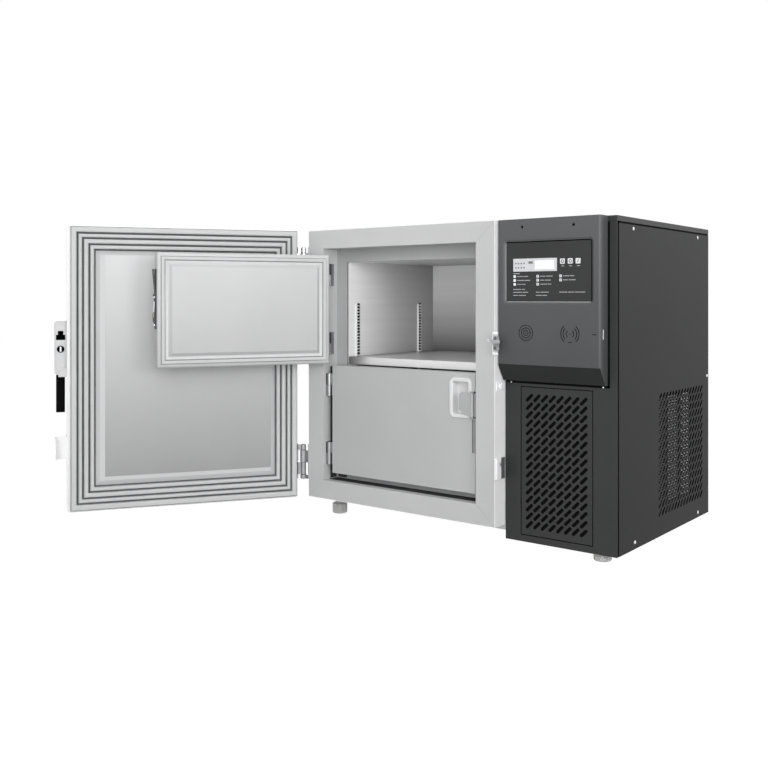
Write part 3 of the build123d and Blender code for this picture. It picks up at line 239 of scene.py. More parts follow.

# %% [markdown]
# ## Finishes
# Each finish is one recipe: a slow noise shifts the colour a little, as real paint and plastic do, a fine
# noise breaks up the gloss, and the same fine noise lifts the surface for powder coat, moulded grain or
# brushed metal. A stretched mapping turns round grain into brush lines. A finish may also fade along one
# axis, between two places on the drawing: that fade is painted light and shade, lighter where the lamps
# reach a sheet and darker where they fall away.


# %% One recipe for every finish
def finish(name, colour, rough, vary=0.05, patch=9.0, grain=900.0, lift=0.0, metal=0.0, stretch=(1, 1, 1),
           rough_vary=0.05, coat=0.0, specular=0.5, fade=None):
    """Colour = base * (1 -+ vary) by slow noise * fade; roughness = rough -+ rough_vary by fine noise."""
    paint = bpy.data.materials.new(name)
    paint.use_nodes = True
    nodes, links = paint.node_tree.nodes, paint.node_tree.links
    shader = nodes["Principled BSDF"]
    shader.inputs["Metallic"].default_value = metal
    shader.inputs["Specular IOR Level"].default_value = specular
    shader.inputs["Coat Weight"].default_value = coat
    place = nodes.new("ShaderNodeTexCoord")
    lie = nodes.new("ShaderNodeMapping")
    lie.inputs["Scale"].default_value = stretch
    links.new(place.outputs["Object"], lie.inputs["Vector"])
    slow, fine = nodes.new("ShaderNodeTexNoise"), nodes.new("ShaderNodeTexNoise")
    for noise, scale in ((slow, patch), (fine, grain)):
        noise.inputs["Scale"].default_value = scale
        noise.inputs["Detail"].default_value = 4.0
        links.new(lie.outputs["Vector"], noise.inputs["Vector"])
    ramp = nodes.new("ShaderNodeValToRGB")
    for stop, at, share in zip(ramp.color_ramp.elements, (0.3, 0.7), (1 - vary, 1 + vary)):
        stop.position = at
        stop.color = (*[min(channel * share, 1.0) for channel in colour], 1)
    links.new(slow.outputs["Fac"], ramp.inputs["Fac"])
    tone = ramp.outputs["Color"]
    # The fade is painted light and shade: it scales the colour between two places on the drawing.
    if fade:
        axis, start, stop, first, last = fade
        kinds = ("SeparateXYZ", "MapRange", "VectorMath")
        split, slope, tint = [nodes.new(f"ShaderNode{kind}") for kind in kinds]
        shift = DRAWING_ORIGIN["XYZ".index(axis)]
        for socket, value in zip(("From Min", "From Max", "To Min", "To Max"),
                                 ((start + shift) / 1000, (stop + shift) / 1000, first, last)):
            slope.inputs[socket].default_value = value
        tint.operation = "SCALE"
        links.new(place.outputs["Object"], split.inputs["Vector"])
        links.new(split.outputs[axis], slope.inputs["Value"])
        links.new(tone, tint.inputs[0])
        links.new(slope.outputs["Result"], tint.inputs["Scale"])
        tone = tint.outputs["Vector"]
    links.new(tone, shader.inputs["Base Color"])
    gloss = nodes.new("ShaderNodeMapRange")
    gloss.inputs["To Min"].default_value = max(rough - rough_vary, 0.02)
    gloss.inputs["To Max"].default_value = min(rough + rough_vary, 1.0)
    links.new(fine.outputs["Fac"], gloss.inputs["Value"])
    links.new(gloss.outputs["Result"], shader.inputs["Roughness"])
    if lift:
        bump = nodes.new("ShaderNodeBump")
        bump.inputs["Strength"].default_value = lift
        bump.inputs["Distance"].default_value = 0.0004
        links.new(fine.outputs["Fac"], bump.inputs["Height"])
        links.new(bump.outputs["Normal"], shader.inputs["Normal"])
    return paint


# %% All the finishes
white_paint = finish("white_powder_coat", (0.89, 0.89, 0.895), 0.42, vary=0.015, grain=500, lift=0.15)
door_white = finish("door_white_powder_coat", (0.88, 0.88, 0.88), 0.42, vary=0.015, grain=500, lift=0.15)
# Painted shade: the frame darkens towards its right side, and the flange is a darker copy of the frame's
# plastic that darkens again towards its top.
frame_grey = finish("frame_plastic_painted_shade", (0.569, 0.571, 0.575), 0.5, vary=0.02, grain=1400, lift=0.1,
                    fade=("X", 300, 520, 1.0, 0.9))
flange_grey = finish("flange_plastic_painted_shade", (0.438, 0.44, 0.444), 0.5, vary=0.02, grain=1400, lift=0.1,
                     fade=("Z", 590, 640, 1.0, 0.85))
door_grey = finish("door_grey_sheet", (0.575, 0.578, 0.583), 0.42, vary=0.02, grain=1200, lift=0.08)
# Painted light and shade: the outer door's panel and the upper inner door's sheet grow lighter towards the
# top, and the lower inner door wears a darker copy of the same sheet.
panel_grey = finish("door_panel_sheet_painted_shading", (0.55, 0.552, 0.557), 0.42, vary=0.02, grain=1200, lift=0.08,
                    fade=("Z", 95, 617, 0.58, 1.16))
upper_grey = finish("upper_door_sheet_painted_shading", (0.55, 0.552, 0.557), 0.42, vary=0.02, grain=1200, lift=0.08,
                    fade=("Z", 360, 621, 0.84, 1.06))
lower_grey = finish("lower_door_sheet_painted_shade", (0.481, 0.484, 0.488), 0.42, vary=0.02, grain=1200, lift=0.08)
seal_grey = finish("seal_grey_rubber", (0.575, 0.578, 0.581), 0.55, vary=0.03, grain=1600, lift=0.1)
liner_steel = finish("liner_brushed_steel", (0.68, 0.68, 0.68), 0.4, vary=0.04, patch=3, grain=60,
                     metal=0.75, stretch=(1, 1, 26), rough_vary=0.06, lift=0.05)
# Painted shade: the liner's side sheets darken towards the back, and its back sheet darkens towards the
# bottom.
side_steel = finish("liner_side_steel_painted_shade", (0.95, 0.95, 0.95), 0.42, vary=0.03, patch=3, grain=60, metal=0.05,
                    stretch=(1, 1, 26), rough_vary=0.06, lift=0.05, fade=("Y", 55, 420, 1.0, 0.36))
back_steel = finish("liner_back_steel_painted_shade", (0.95, 0.95, 0.95), 0.42, vary=0.03, patch=3, grain=60, metal=0.0,
                    stretch=(1, 1, 26), rough_vary=0.06, lift=0.05, fade=("Z", 372, 590, 0.15, 1.08))
# Painted shade: the shelf's steel darkens towards its left end; the hinge pins share this finish.
shelf_steel = finish("shelf_brushed_steel_painted_shade", (0.88, 0.88, 0.88), 0.3, vary=0.05, patch=3, grain=60,
                     metal=0.6, stretch=(1, 26, 1), rough_vary=0.05, fade=("X", 82, 150, 0.2, 0.96))
housing_paint = finish("housing_dark_powder_coat", (0.0248, 0.0252, 0.026), 0.5, vary=0.06, grain=900,
                       lift=0.3, specular=0.3)
# Painted light: the bezel's plastic grows lighter towards its top.
bezel_plastic = finish("bezel_satin_plastic_painted_light", (0.0725, 0.0737, 0.0762), 0.45, vary=0.04, grain=1500,
                       lift=0.15, specular=0.35, fade=("Z", 380, 660, 0.86, 1.22))
panel_film = finish("display_film", (0.0263, 0.0266, 0.0275), 0.4, vary=0.05, grain=1800, lift=0.05,
                    specular=0.3)
pale_plastic = finish("pale_moulded_plastic", (0.88, 0.88, 0.88), 0.45, vary=0.03, grain=1200, lift=0.12)
white_plastic = finish("white_moulded_plastic", (0.88, 0.88, 0.88), 0.38, vary=0.02, grain=1200, lift=0.08)
black_plastic = finish("black_grip_plastic", (0.003, 0.003, 0.0032), 0.7, vary=0.1, grain=1500, lift=0.2,
                       specular=0.04)
# Painted shade: black for the gaps, slots, recesses and hollows that lie in shade; the liner's joint line
# shares it.
black_painted_shade_and_joint = finish("black_painted_shade_and_joint", (0.004, 0.004, 0.004), 0.9, vary=0.2, specular=0.05)
chrome = finish("bright_plated_steel", (0.78, 0.78, 0.79), 0.16, vary=0.03, grain=700, metal=1.0,
                rough_vary=0.05)
zinc = finish("galvanised_steel", (0.5, 0.5, 0.51), 0.45, vary=0.2, patch=60, grain=300, metal=0.7)
foam = finish("rigid_foam", (0.8, 0.74, 0.55), 0.9, vary=0.08, patch=200, lift=0.3)
copper = finish("drawn_copper_tube", (0.62, 0.31, 0.2), 0.32, vary=0.12, patch=30, metal=1.0)
enamel = finish("black_enamel", (0.0187, 0.0187, 0.02), 0.3, vary=0.1, patch=40, lift=0.1)
fins = finish("aluminium_fins", (0.6, 0.6, 0.6), 0.4, vary=0.2, patch=40, grain=50, metal=1.0,
              stretch=(12, 1, 1))
filter_mesh = finish("filter_mesh", (0.004, 0.004, 0.0042), 0.95, vary=0.3, patch=300, grain=600,
                     specular=0.05)
lamp_lens = finish("lamp_lens", (0.688, 0.7, 0.725), 0.3, vary=0.05, patch=200)
# Print ink for the legends, and also the painted highlight along the window's lit edges.
legend_ink_and_edge_highlight = finish("legend_ink_and_edge_highlight", (0.375, 0.381, 0.388), 0.5, vary=0.06, patch=300)
lcd_white = finish("lcd_lit_glass", (0.88, 0.9, 0.92), 0.2, vary=0.02, patch=100, coat=0.3)
lcd_grey = finish("lcd_clear_glass", (0.625, 0.637, 0.663), 0.22, vary=0.06, patch=100, coat=0.3)
bronze = finish("bronze_roller", (0.42, 0.3, 0.18), 0.35, vary=0.1, patch=80, metal=1.0)
hinge_steel = finish("satin_hinge_steel", (0.36, 0.36, 0.37), 0.24, vary=0.06, patch=40, grain=500,
                     metal=1.0, rough_vary=0.08)
foot_plastic = finish("foot_grey_plastic", (0.575, 0.575, 0.569), 0.5, vary=0.03, patch=60, lift=0.1)
lamp_lit = finish("lamp_lit", (0.85, 0.86, 0.88), 0.3, vary=0.03, patch=200)
lcd_ink = finish("lcd_ink", (0.15, 0.156, 0.163), 0.4, vary=0.1, patch=300)
key_white = finish("key_white_plastic", (0.7, 0.7, 0.72), 0.4, vary=0.03, patch=200)
bezel_ink = finish("bezel_dark_print", (0.008, 0.008, 0.008), 0.7, vary=0.1, patch=300, specular=0.05)
lever_white = finish("lever_bright_plating", (0.78, 0.79, 0.84), 0.3, vary=0.04, patch=80, metal=0.4)
screw_bright = finish("zinc_plated_screw", (0.775, 0.775, 0.787), 0.35, vary=0.08, patch=200, metal=0.4)
cup_plastic = finish("cup_moulded_plastic", (0.725, 0.725, 0.731), 0.4, vary=0.02, grain=1200, lift=0.08)
chin_plastic = finish("chin_shaded_plastic", (0.015, 0.0153, 0.0156), 0.5, vary=0.05, grain=1500,
                      lift=0.15, specular=0.2)
# Painted shading: the side sheet wears a darker copy of the housing's powder coat, darker towards the bottom
# and lighter towards the top.
side_paint = finish("side_powder_coat_painted_shading", (0.0131, 0.0134, 0.0139), 0.5, vary=0.06, grain=900,
                    lift=0.3, specular=0.14, fade=("Z", 20, 640, 0.55, 1.3))
groove_grey = finish("groove_shaded_rubber", (0.0625, 0.0625, 0.065), 0.8, vary=0.1, patch=60, specular=0.1)
post_dark = finish("shadowed_galvanised", (0.015, 0.015, 0.0156), 0.7, vary=0.2, patch=60, specular=0.1)
# Dark grey for the keeper's bolts, and painted shade for the plate behind the padlock eye.
bolt_and_shade_grey = finish("bolt_grey_and_hasp_shade", (0.0875, 0.0875, 0.09), 0.6, vary=0.06, patch=80)
case_plastic = finish("handle_case_plastic", (0.6, 0.6, 0.606), 0.42, vary=0.02, grain=1200, lift=0.08)
# Painted light: three copies of one galvanised metal, lit, half lit and shaded, for the spots behind the
# vents.
lit_vent_metal = finish("galvanised_painted_lit", (0.88, 0.88, 0.88), 0.5, vary=0.15, patch=90)
half_lit_vent_metal = finish("galvanised_painted_half_lit", (0.425, 0.425, 0.425), 0.5, vary=0.25, patch=90)
shaded_vent_metal = finish("galvanised_painted_shaded", (0.125, 0.125, 0.125), 0.5, vary=0.3, patch=90)
paddle_grey = finish("paddle_grey_plastic", (0.413, 0.415, 0.419), 0.45, vary=0.03, patch=60, grain=1200,
                     lift=0.08)
dark_steel = finish("shadowed_hinge_steel", (0.0375, 0.0375, 0.0387), 0.5, vary=0.1, patch=60, grain=500,
                    metal=0.3)
keeper_steel = finish("keeper_grey_casting", (0.25, 0.25, 0.256), 0.45, vary=0.25, patch=140, grain=500,
                      metal=0.3)
# Painted shade: the standards' steel darkens towards the front.
standard_steel = finish("standard_steel_painted_shade", (0.97, 0.97, 0.97), 0.4, vary=0.02, patch=20, metal=0.1,
                        fade=("Y", 90, 350, 0.72, 1.0))
# Painted shade: the two groove finishes below are dark strips standing for the shade in the seals' grooves.
groove_soft = finish("groove_painted_shade_soft", (0.125, 0.125, 0.128), 0.8, vary=0.1, patch=60, specular=0.1)
groove_pale = finish("groove_painted_shade_pale", (0.188, 0.188, 0.19), 0.8, vary=0.1, patch=60, specular=0.1)
# Painted highlight: the bead's rubber is a paler copy of the seal's, standing for the light along it.
bead_grey = finish("bead_rubber_painted_highlight", (0.65, 0.653, 0.66), 0.5, vary=0.02, patch=60, grain=1600, lift=0.05)
# Painted shade: the catch strip's steel is a darker grey for the shade it lies in.
strip_grey = finish("catch_strip_steel_painted_shade", (0.275, 0.275, 0.278), 0.45, vary=0.06, patch=60, metal=0.3)
print("finishes", len(bpy.data.materials))

# %% A finish for every solid
NODE_FINISH = {
    white_paint: "cabinet_shell cabinet_hasp pressure_port base_frame",
    door_white: "door_skin door_hasp",
    frame_grey: "front_frame",
    flange_grey: "inner_flange",
    door_grey: "door_liner",
    upper_grey: "upper_inner_door",
    lower_grey: "lower_inner_door",
    seal_grey: "door_gasket upper_inner_gasket lower_inner_gasket",
    liner_steel: "inner_liner",
    standard_steel: "shelf_supports",
    shelf_steel: "shelf hinge_pins panel_screws",
    housing_paint: "machine_base front_panel front_grille side_panel top_cover rear_panel",
    bezel_plastic: "control_bezel power_inlet key_left key_middle key_right",
    panel_film: "display_panel",
    pale_plastic: "feet",
    paddle_grey: "upper_latch_paddle lower_latch_paddle",
    dark_steel: "upper_inner_fittings",
    case_plastic: "handle_housing",
    white_plastic: "usb_port",
    cup_plastic: "upper_inner_cup lower_inner_cup",
    black_plastic: "latch_handle condenser_fan",
    chrome: "latch_keeper lock_cylinder",
    hinge_steel: "hinge_brackets door_hinge_leaves inner_hinge_brackets lower_inner_fittings",
    zinc: "fan_shroud control_box",
    post_dark: "vent_posts",
    foam: "insulation_panels door_core",
    copper: "refrigerant_circuit",
    enamel: "compressor fan_motor",
    fins: "condenser",
    filter_mesh: "air_filter",
    lamp_lens: "status_lamps",
    lcd_grey: "lcd_window",
}
for paint, names in NODE_FINISH.items():
    for node in names.split():
        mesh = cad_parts[node].data
        mesh.materials.clear()
        mesh.materials.append(paint)
print("finished nodes", sum(len(names.split()) for names in NODE_FINISH.values()))

# %% [markdown]
# ## Outlines and carried profiles
# Moulded parts are mostly a rounded rectangle with a soft edge. `outline` gives that rectangle at any inset,
# `carried` draws one cross section round it as a router or an extruder would, and `pillow` closes it to a
# cap.

# %% Rounded outlines
def outline(rect, corner=0.0, inset=0.0, steps=6):
    """Rounded rectangle shrunk by inset: corner centre + (corner - inset) * (cos v, sin v), four quarters."""
    x0, x1, z0, z1 = np.array(rect, float) + np.array([1, -1, 1, -1]) * inset
    r = max(corner - inset, 0.0)
    v = np.radians(np.linspace(0, 90, steps))
    turn = np.concatenate([v, v + np.pi / 2, v + np.pi, v + 1.5 * np.pi])
    middles = np.repeat([[x1 - r, z1 - r], [x0 + r, z1 - r], [x0 + r, z0 + r], [x1 - r, z0 + r]], steps, 0)
    return middles + r * np.stack([np.cos(turn), np.sin(turn)], 1)


def carried(profile, rect, corner=0.0, steps=6, closed=True):
    """Cross section of (inset, depth) points carried round a rounded rectangle, one ring for each point."""
    rings = [np.insert(outline(rect, corner, inset, steps), 1, depth, axis=1) for inset, depth in profile]
    return np.concatenate(rings), quads(len(rings), 4 * steps, ring_u=closed).tolist()


def pillow(rect, corner, front, back, edge=0.0, steps=6):
    """Rounded plate, soft front edge: inset = edge * (1 - sin a), depth = front + edge * (1 - cos a)."""
    a = np.radians(np.linspace(0, 90, 5)) if edge else np.array([np.pi / 2])
    way = np.sign(back - front)
    edge_curve = np.stack([edge * (1 - np.sin(a)), front + way * edge * (1 - np.cos(a))], 1)
    profile = edge_curve.tolist() + [[0.0, back]]
    points, faces = carried(profile, rect, corner, steps, closed=False)
    count = 4 * steps
    return points, faces + [list(range(count)), list(range(len(points) - count, len(points)))]


def prism(polygon, front, back):
    """Flat polygon in X and Z carried straight from front to back depth."""
    flat = np.array(polygon, float)
    count = len(flat)
    points = np.concatenate([np.insert(flat, 1, depth, axis=1) for depth in (front, back)])
    return points, quads(2, count).tolist() + [list(range(count)), list(range(count, 2 * count))]


# %% [markdown]
# ## Punched vents
# The grille and the side panel are thin sheet with rows of slanted slots. A press punches them all with one
# tool, so one square cell of sheet round one slot, repeated at the pitch, makes the whole field. The slot's
# mouth is a little wider than its throat: that is the rolled edge the punch leaves, and it catches light.

# %% Slanted slots in a sheet
SLOT_PITCH, SLOT_LENGTH, SLOT_WIDTH, SLOT_ROLL = 17.9, 22.0, 7.0, 0.1


def slot_outline(radius):
    """Stadium turned 45 degrees, 16 points: core + radius * (cos v, sin v) at each end, and the mid-sides."""
    core = (SLOT_LENGTH - SLOT_WIDTH) / 2
    v = np.radians([0, 30, 60, 90])
    quarter = np.stack([core + radius * np.cos(v), radius * np.sin(v)], 1)
    half = np.concatenate([quarter, [[0, radius]], quarter[:0:-1] * [-1, 1]])
    return np.concatenate([half, -half]) @ (np.array([[1, 1], [-1, 1]]) * np.sqrt(0.5))


def cell_outline():
    """Square of one pitch, 16 points in the slot's order: corner, along one side, corner, along the next."""
    h = SLOT_PITCH / 2
    along = np.array([0, 0.2, 0.4, 0.6])[:, None]
    half = np.concatenate([[h, h] + along * [-2 * h, 0], [[-h, h]],
                           [-h, h] + (along[1:] + 0.2) * [0, -2 * h]])
    return np.concatenate([half, -half])


def slotted_sheet(rect, centre, columns, rows, thick):
    """Field of cells at centre + pitch * (i - (n - 1) / 2, j - (m - 1) / 2) inside a plain border."""
    slot, square = slot_outline(SLOT_WIDTH / 2), cell_outline()
    around = len(square)
    i, j = np.meshgrid(np.arange(columns) - (columns - 1) / 2, np.arange(rows) - (rows - 1) / 2)
    middles = np.array(centre) + SLOT_PITCH * np.stack([i.ravel(), j.ravel()], 1)
    rings = np.stack([square, slot_outline(SLOT_WIDTH / 2 + SLOT_ROLL), slot, slot, square])
    depth = np.array([0, 0, SLOT_ROLL, thick, thick])[:, None, None]
    depth = depth + np.zeros((len(middles), len(rings), around, 1))
    field = np.concatenate([middles[:, None, None] + rings, depth], -1).reshape(-1, 3)
    first = len(rings) * around * np.arange(len(middles))
    cells = (quads(len(rings), around)[None] + first[:, None, None]).reshape(-1, 4)
    reach = SLOT_PITCH * np.array([columns, rows]) / 2
    inner = outline(np.stack([centre - reach, centre + reach], 1).ravel(), steps=1)
    outer = outline(rect, steps=1)
    border = [np.insert(ring, 2, at, axis=1)
              for ring, at in ((inner, 0), (outer, 0), (outer, thick), (inner, thick))]
    return joined((field, cells), (np.concatenate(border), quads(4, 4)))


GRILLE_RECT, GRILLE_CORNER, SHEET_THICK = (575, 738, 16, 328.5), 1.0, 0.35
HOUSING_FRONT, HOUSING_SIDE = 42, 792
points, faces = slotted_sheet(GRILLE_RECT, (656.5, 172.25), 8, 16, SHEET_THICK)
grille_sheet = (points[:, [0, 2, 1]] + [0, HOUSING_FRONT, 0], faces)
grille_rim = carried([(0, 42.4), (0, 52), (2, 52), (2, 42.4)], GRILLE_RECT, GRILLE_CORNER, steps=3)
piece("grille_sheet", joined(grille_sheet, grille_rim), housing_paint, "grille",
      ["front_grille"], smooth=35)

points, faces = slotted_sheet((51.0, 564, 0, 668.0), (389.25, 177.25), 15, 15, SHEET_THICK)
side_sheet = (points[:, [2, 0, 1]] * [-1, 1, 1] + [HOUSING_SIDE, 0, 0], faces)
piece("side_sheet", side_sheet, side_paint, "cabinet", ["side_panel"], smooth=35)

# %% [markdown]
# Where two sheets meet there is a narrow gap that lies in deep shade. Thin dark strips set just inside the
# sheets paint that shade as black lines round the side panel, beside and under the bezel and round the grille.

# %% Painted shade in the gaps between the sheets
seam_shade = blocks((790.8, 791.6, 43.6, 52, 1, 671.5), (790.8, 791.6, 44, 563, 667, 671.8),
               (772, 776.5, 41.7, 41.95, 338, 671), (539, 776.5, 41.7, 41.95, 336.5, 342))
piece("housing_seam_shade", seam_shade, black_painted_shade_and_joint, "cabinet")
gap = carried([(-14, 52.3), (-14, 53), (-0.3, 53), (-0.3, 52.3)], GRILLE_RECT, GRILLE_CORNER, steps=3)
piece("grille_gap_shade", gap, black_painted_shade_and_joint, "cabinet")

# %% [markdown]
# ## The outer door's seal
# The seal is one soft extrusion with four ribs, cut at 45 degrees and welded at the corners. Its section is
# drawn once and carried round the door, so every corner mitres by itself. Four ribs give three dead-air
# grooves, which is what keeps frost out of a door at eighty degrees below zero. The grooves lie in shade, so
# each gets a dark strip on its floor, and so do the seal's two edges. Inside the seal lies the door's panel.


# %% Four ribs, carried round four mitres
def ribs(spans, base, floor, top, r):
    """Shoulders (t0 + r (1 - cos a), top - r (1 - sin a)) of each span, mirrored, grooves between them."""
    a = np.radians(np.linspace(0, 90, 6))
    rise, run = top - r * (1 - np.sin(a)), r * (1 - np.cos(a))
    section = [[(spans[0][0], base)]]
    for t0, t1 in spans:
        section += [[(t0, floor)], np.stack([t0 + run, rise], 1),
                    np.stack([t1 - run, rise], 1)[::-1], [(t1, floor)]]
    return np.concatenate(section + [[(spans[-1][1], base)]])


DOOR_EDGE, DOOR_PANEL = (2.6, 533.4, 30.1, 682.4), (67.6, 457.4, 104, 617.4)
RIB_SPANS = [(0, 13), (17, 25), (29, 39), (43, 51.5)]
GROOVE_STARTS, GROOVE_WIDTH, GROOVE_LOW, GROOVE_HIGH = (13, 25, 39, 51), 4.0, -10.6, -9.2
seal = ribs(RIB_SPANS, base=-12.0, floor=-11.0, top=-0.4, r=3.9)
piece("door_seal", carried(seal, DOOR_EDGE, steps=1), seal_grey, "outer_door",
      ["door_gasket"], smooth=40)
grooves = [carried([(t, GROOVE_LOW), (t, GROOVE_HIGH), (t + GROOVE_WIDTH, GROOVE_HIGH),
                    (t + GROOVE_WIDTH, GROOVE_LOW)], DOOR_EDGE, steps=1)
           for t in GROOVE_STARTS]
outer_line = [(0.2, -4.4), (0.2, -2.0), (1.0, -1.1), (1.0, -4.4)]
grooves.append(carried(outer_line, DOOR_EDGE, steps=1))
# Painted shade: dark strips on the groove floors and at the seal's two edges.
piece("door_seal_groove_shade", joined(*grooves), groove_soft, "outer_door")
# The panel's finish paints shading, lighter towards the top and darker towards the bottom.
piece("door_panel_sheet_painted_shading", pillow(DOOR_PANEL, 0.5, -7.75, -8.1, 0.2, steps=3), panel_grey, "outer_door")

# %% [markdown]
# The inner doors have one flat seal in a groove, so its section is low and square with softened corners, and
# the groove's shade is painted as a dark line on each side. Inside it a bead slopes down to the panel, in a
# paler rubber that paints the highlight along it. It is the same idea again: sections carried round a
# rectangle.

# %% Flat seals of the inner doors
INNER_DOORS = (("upper", 360), ("lower", 93))
INNER_FACE, LINE_TOP, LINE_SPANS = 41.8, 42.15, ((8.4, 8.4 + 1.2), (17.0, 17.0 + 1.4))
lip = [(9.6, INNER_FACE), (9.6, 44.6), (10.1, 45.4), (11.0, 45.8),
       (15.6, 45.8), (16.5, 45.4), (17.0, 44.6), (17.0, INNER_FACE)]
bead = [(18.4, INNER_FACE), (18.7, 43.2), (19.8, 43.9), (21.4, 43.7), (24.6, 42.3), (25.2, INNER_FACE)]
for side, bottom in INNER_DOORS:
    rect = (67.6, 477.5, bottom, bottom + 261)
    door = f"{side}_door"
    piece(f"{side}_inner_seal", carried(lip, rect, steps=1), seal_grey, door,
          [f"{side}_inner_gasket"], smooth=50)
    lines = [carried([(t0, INNER_FACE), (t0, LINE_TOP), (t1, LINE_TOP), (t1, INNER_FACE)], rect, steps=1)
             for t0, t1 in LINE_SPANS]
    piece(f"{side}_seal_groove_shade", joined(*lines), groove_pale, door)
    piece(f"{side}_seal_bead", carried(bead, rect, steps=1), bead_grey, door, smooth=60)

# %% [markdown]
# ## Outer hinges
# A lift-off hinge is a stack of turned knuckles on one pin: two belong to the cabinet and two to the door.
# The cabinet's are wider, and the lowest is a cap with a rounded foot. Each knuckle carries a web to its
# leaf.

# %% Knuckles and leaves
HINGE_X, HINGE_Y, HINGE_TALL = -13.5, -4.0, 85.5
cap_round = [(8.0 - 3.4 * (1 - np.cos(a)), 3.4 * (1 - np.sin(a))) for a in np.radians([80, 60, 40, 20, 0])]
for name, z in (("lower", 71.5), ("upper", 557.5)):
    centre = (HINGE_X, HINGE_Y, z)
    cabinet_side = [turned(cap_round + [(8.0, 10.4), (7.4, 10.9)], centre),
                    turned(barrel(8.0, 41.1, 70.9), centre),
                    blocks((HINGE_X, 0, HINGE_Y, 6, z + 1, z + 10.9),
                           (HINGE_X, 0, HINGE_Y, 6, z + 41.1, z + 70.9), (-3, 0, 1, 39, z, z + HINGE_TALL))]
    door_side = [turned(barrel(6.6, 11.1, 40.9), centre), turned(barrel(6.6, 71.1, HINGE_TALL, 1.2), centre),
                 blocks((HINGE_X, 0, -19, HINGE_Y, z + 11.1, z + 40.9),
                        (HINGE_X, 0, -19, HINGE_Y, z + 71.1, z + HINGE_TALL),
                        (-3, 0, -52, -14, z, z + HINGE_TALL))]
    for half, body, node in ((cabinet_side, "cabinet", "hinge_brackets"),
                             (door_side, "outer_door", "door_hinge_leaves")):
        piece(f"{name}_hinge_{body}_half", joined(*half), hinge_steel, body, [node], smooth=40)

# %% [markdown]
# ## Feet
# Each foot is a moulded knob, ribbed for the fingers that screw it up and down. The ribs are a cosine raised
# to a power, so that the grips stay wide and the grooves between them narrow.

# %% Ribbed knobs
v = np.linspace(0, 2 * np.pi, 168, endpoint=False)
RIB_DEPTH, RIB_COUNT, RIB_POWER = 1.5, 28, 3
rib = RIB_DEPTH * (0.5 + 0.5 * np.cos(RIB_COUNT * v)) ** RIB_POWER
rows = [(15.5, 0.0, -20.0), (17.6, 0.6, -19.0), (18.5, 1.0, -17.0), (18.5, 1.0, 1.5),
        (17.8, 0.7, 3.4), (16.0, 0.0, 5.0), (10.5, 0.0, 6.0), (10.0, 0.0, 12.0)]
radius = np.array([r - share * rib for r, share, z in rows])
knob = np.stack([radius * np.cos(v), radius * np.sin(v), np.array([[z] for r, share, z in rows]) + 0 * v], -1)
last_row = (len(rows) - 1) * len(v)
knob_ends = [list(range(len(v))), list(range(last_row, last_row + len(v)))]
knob_faces = quads(len(rows), len(v)).tolist() + knob_ends
feet = [(knob.reshape(-1, 3) + [x, y, 0], knob_faces) for x in (33, 743) for y in (80, 500)]
piece("ribbed_feet", joined(*feet), foot_plastic, "cabinet", ["feet"], smooth=50)

# %% [markdown]
# ## The control panel
# The panel is a dark film behind a window in the bezel. Its marks are printed or lit: a bright display, eight
# small lamps and a few lines of text, drawn here as plain bars. Each mark is a plate a tenth of a millimetre
# thick, so it has an edge of its own and can be picked out in the model.

# %% Display, lamps and legends
FILM = 12.0


def plates(rects, front, back):
    """Flat marks given as x0, x1, z0, z1, all between the same two depths."""
    return blocks(*[(x0, x1, front, back, z0, z1) for x0, x1, z0, z1 in rects])


piece("lcd_glass", pillow((572.4, 674.4, 573, 600), 0.8, 11.4, 14, 0.4), lcd_grey, "cabinet",
      ["lcd_window"])
piece("lcd_lit_field", pillow((623.5, 668.5, 577, 595.6), 0.5, 11.25, 11.6), lcd_white, "cabinet")
icons = [(577 + 6.6 * i, 580.4 + 6.6 * i, z, z + 3.2) for i in range(4) for z in (579.5, 588.5)]
piece("lcd_icons", plates(icons + [(609, 619, 589, 594)], 11.3, 11.6), lcd_ink, "cabinet")
LAMP_SIDE, LIT_COLUMN = 5.6, 573
lamp_spots = [(573, 560), (573, 551.8), (573, 543.6), (627.5, 560), (627.5, 551.8), (627.5, 543.6),
              (680, 560), (680, 551.8)]
full, rings = [], []
for x, z in lamp_spots:
    rect = (x, x + LAMP_SIDE, z, z + LAMP_SIDE)
    if x == LIT_COLUMN:
        full.append(pillow(rect, 0.8, 11.4, FILM + 0.2, 0.2, steps=4))
    else:
        edge = [(0, 11.5), (0, FILM + 0.2), (1.5, FILM + 0.2), (1.5, 11.5)]
        rings.append(carried(edge, rect, 0.8, steps=4))
        rings.append(plates([(x + 2.1, x + 3.5, z + 2.1, z + 3.5)], 11.6, FILM + 0.1))
piece("lamps_lit", joined(*full), lamp_lit, "cabinet", ["status_lamps"])
piece("lamps_outlined", joined(*rings), lamp_lens, "cabinet")
WORD_GAP, WORD_TALL = 1.6, 1.5
WORDS = {(582, 562.0): (13, 11), (582, 553.8): (17, 12), (582, 545.6): (10, 8),
         (636, 562.0): (12, 15), (636, 553.8): (9, 14), (636, 545.6): (16, 8),
         (688.5, 562.0): (14, 9), (688.5, 553.8): (11, 15), (572, 568.0): (16,), (572, 535.0): (19, 8),
         (572, 529.0): (22, 12), (572, 522.5): (12, 17), (626, 529.0): (9, 19), (626, 522.5): (14, 10),
         (680, 529.0): (18, 14, 22)}
bars = []
for (x, z), lengths in WORDS.items():
    starts = x + np.concatenate([[0], np.cumsum(np.array(lengths) + WORD_GAP)[:-1]])
    bars += [(start, start + length, z, z + WORD_TALL) for start, length in zip(starts, lengths)]
KEYS = {"key_left": 687.7, "key_middle": 705.1, "key_right": 722.5}
bars += [(x - 3.4, x + 3.4, 582.2, 583.6) for x in KEYS.values()]
piece("panel_legends", plates(bars, FILM - 0.08, FILM + 0.1), legend_ink_and_edge_highlight, "cabinet")

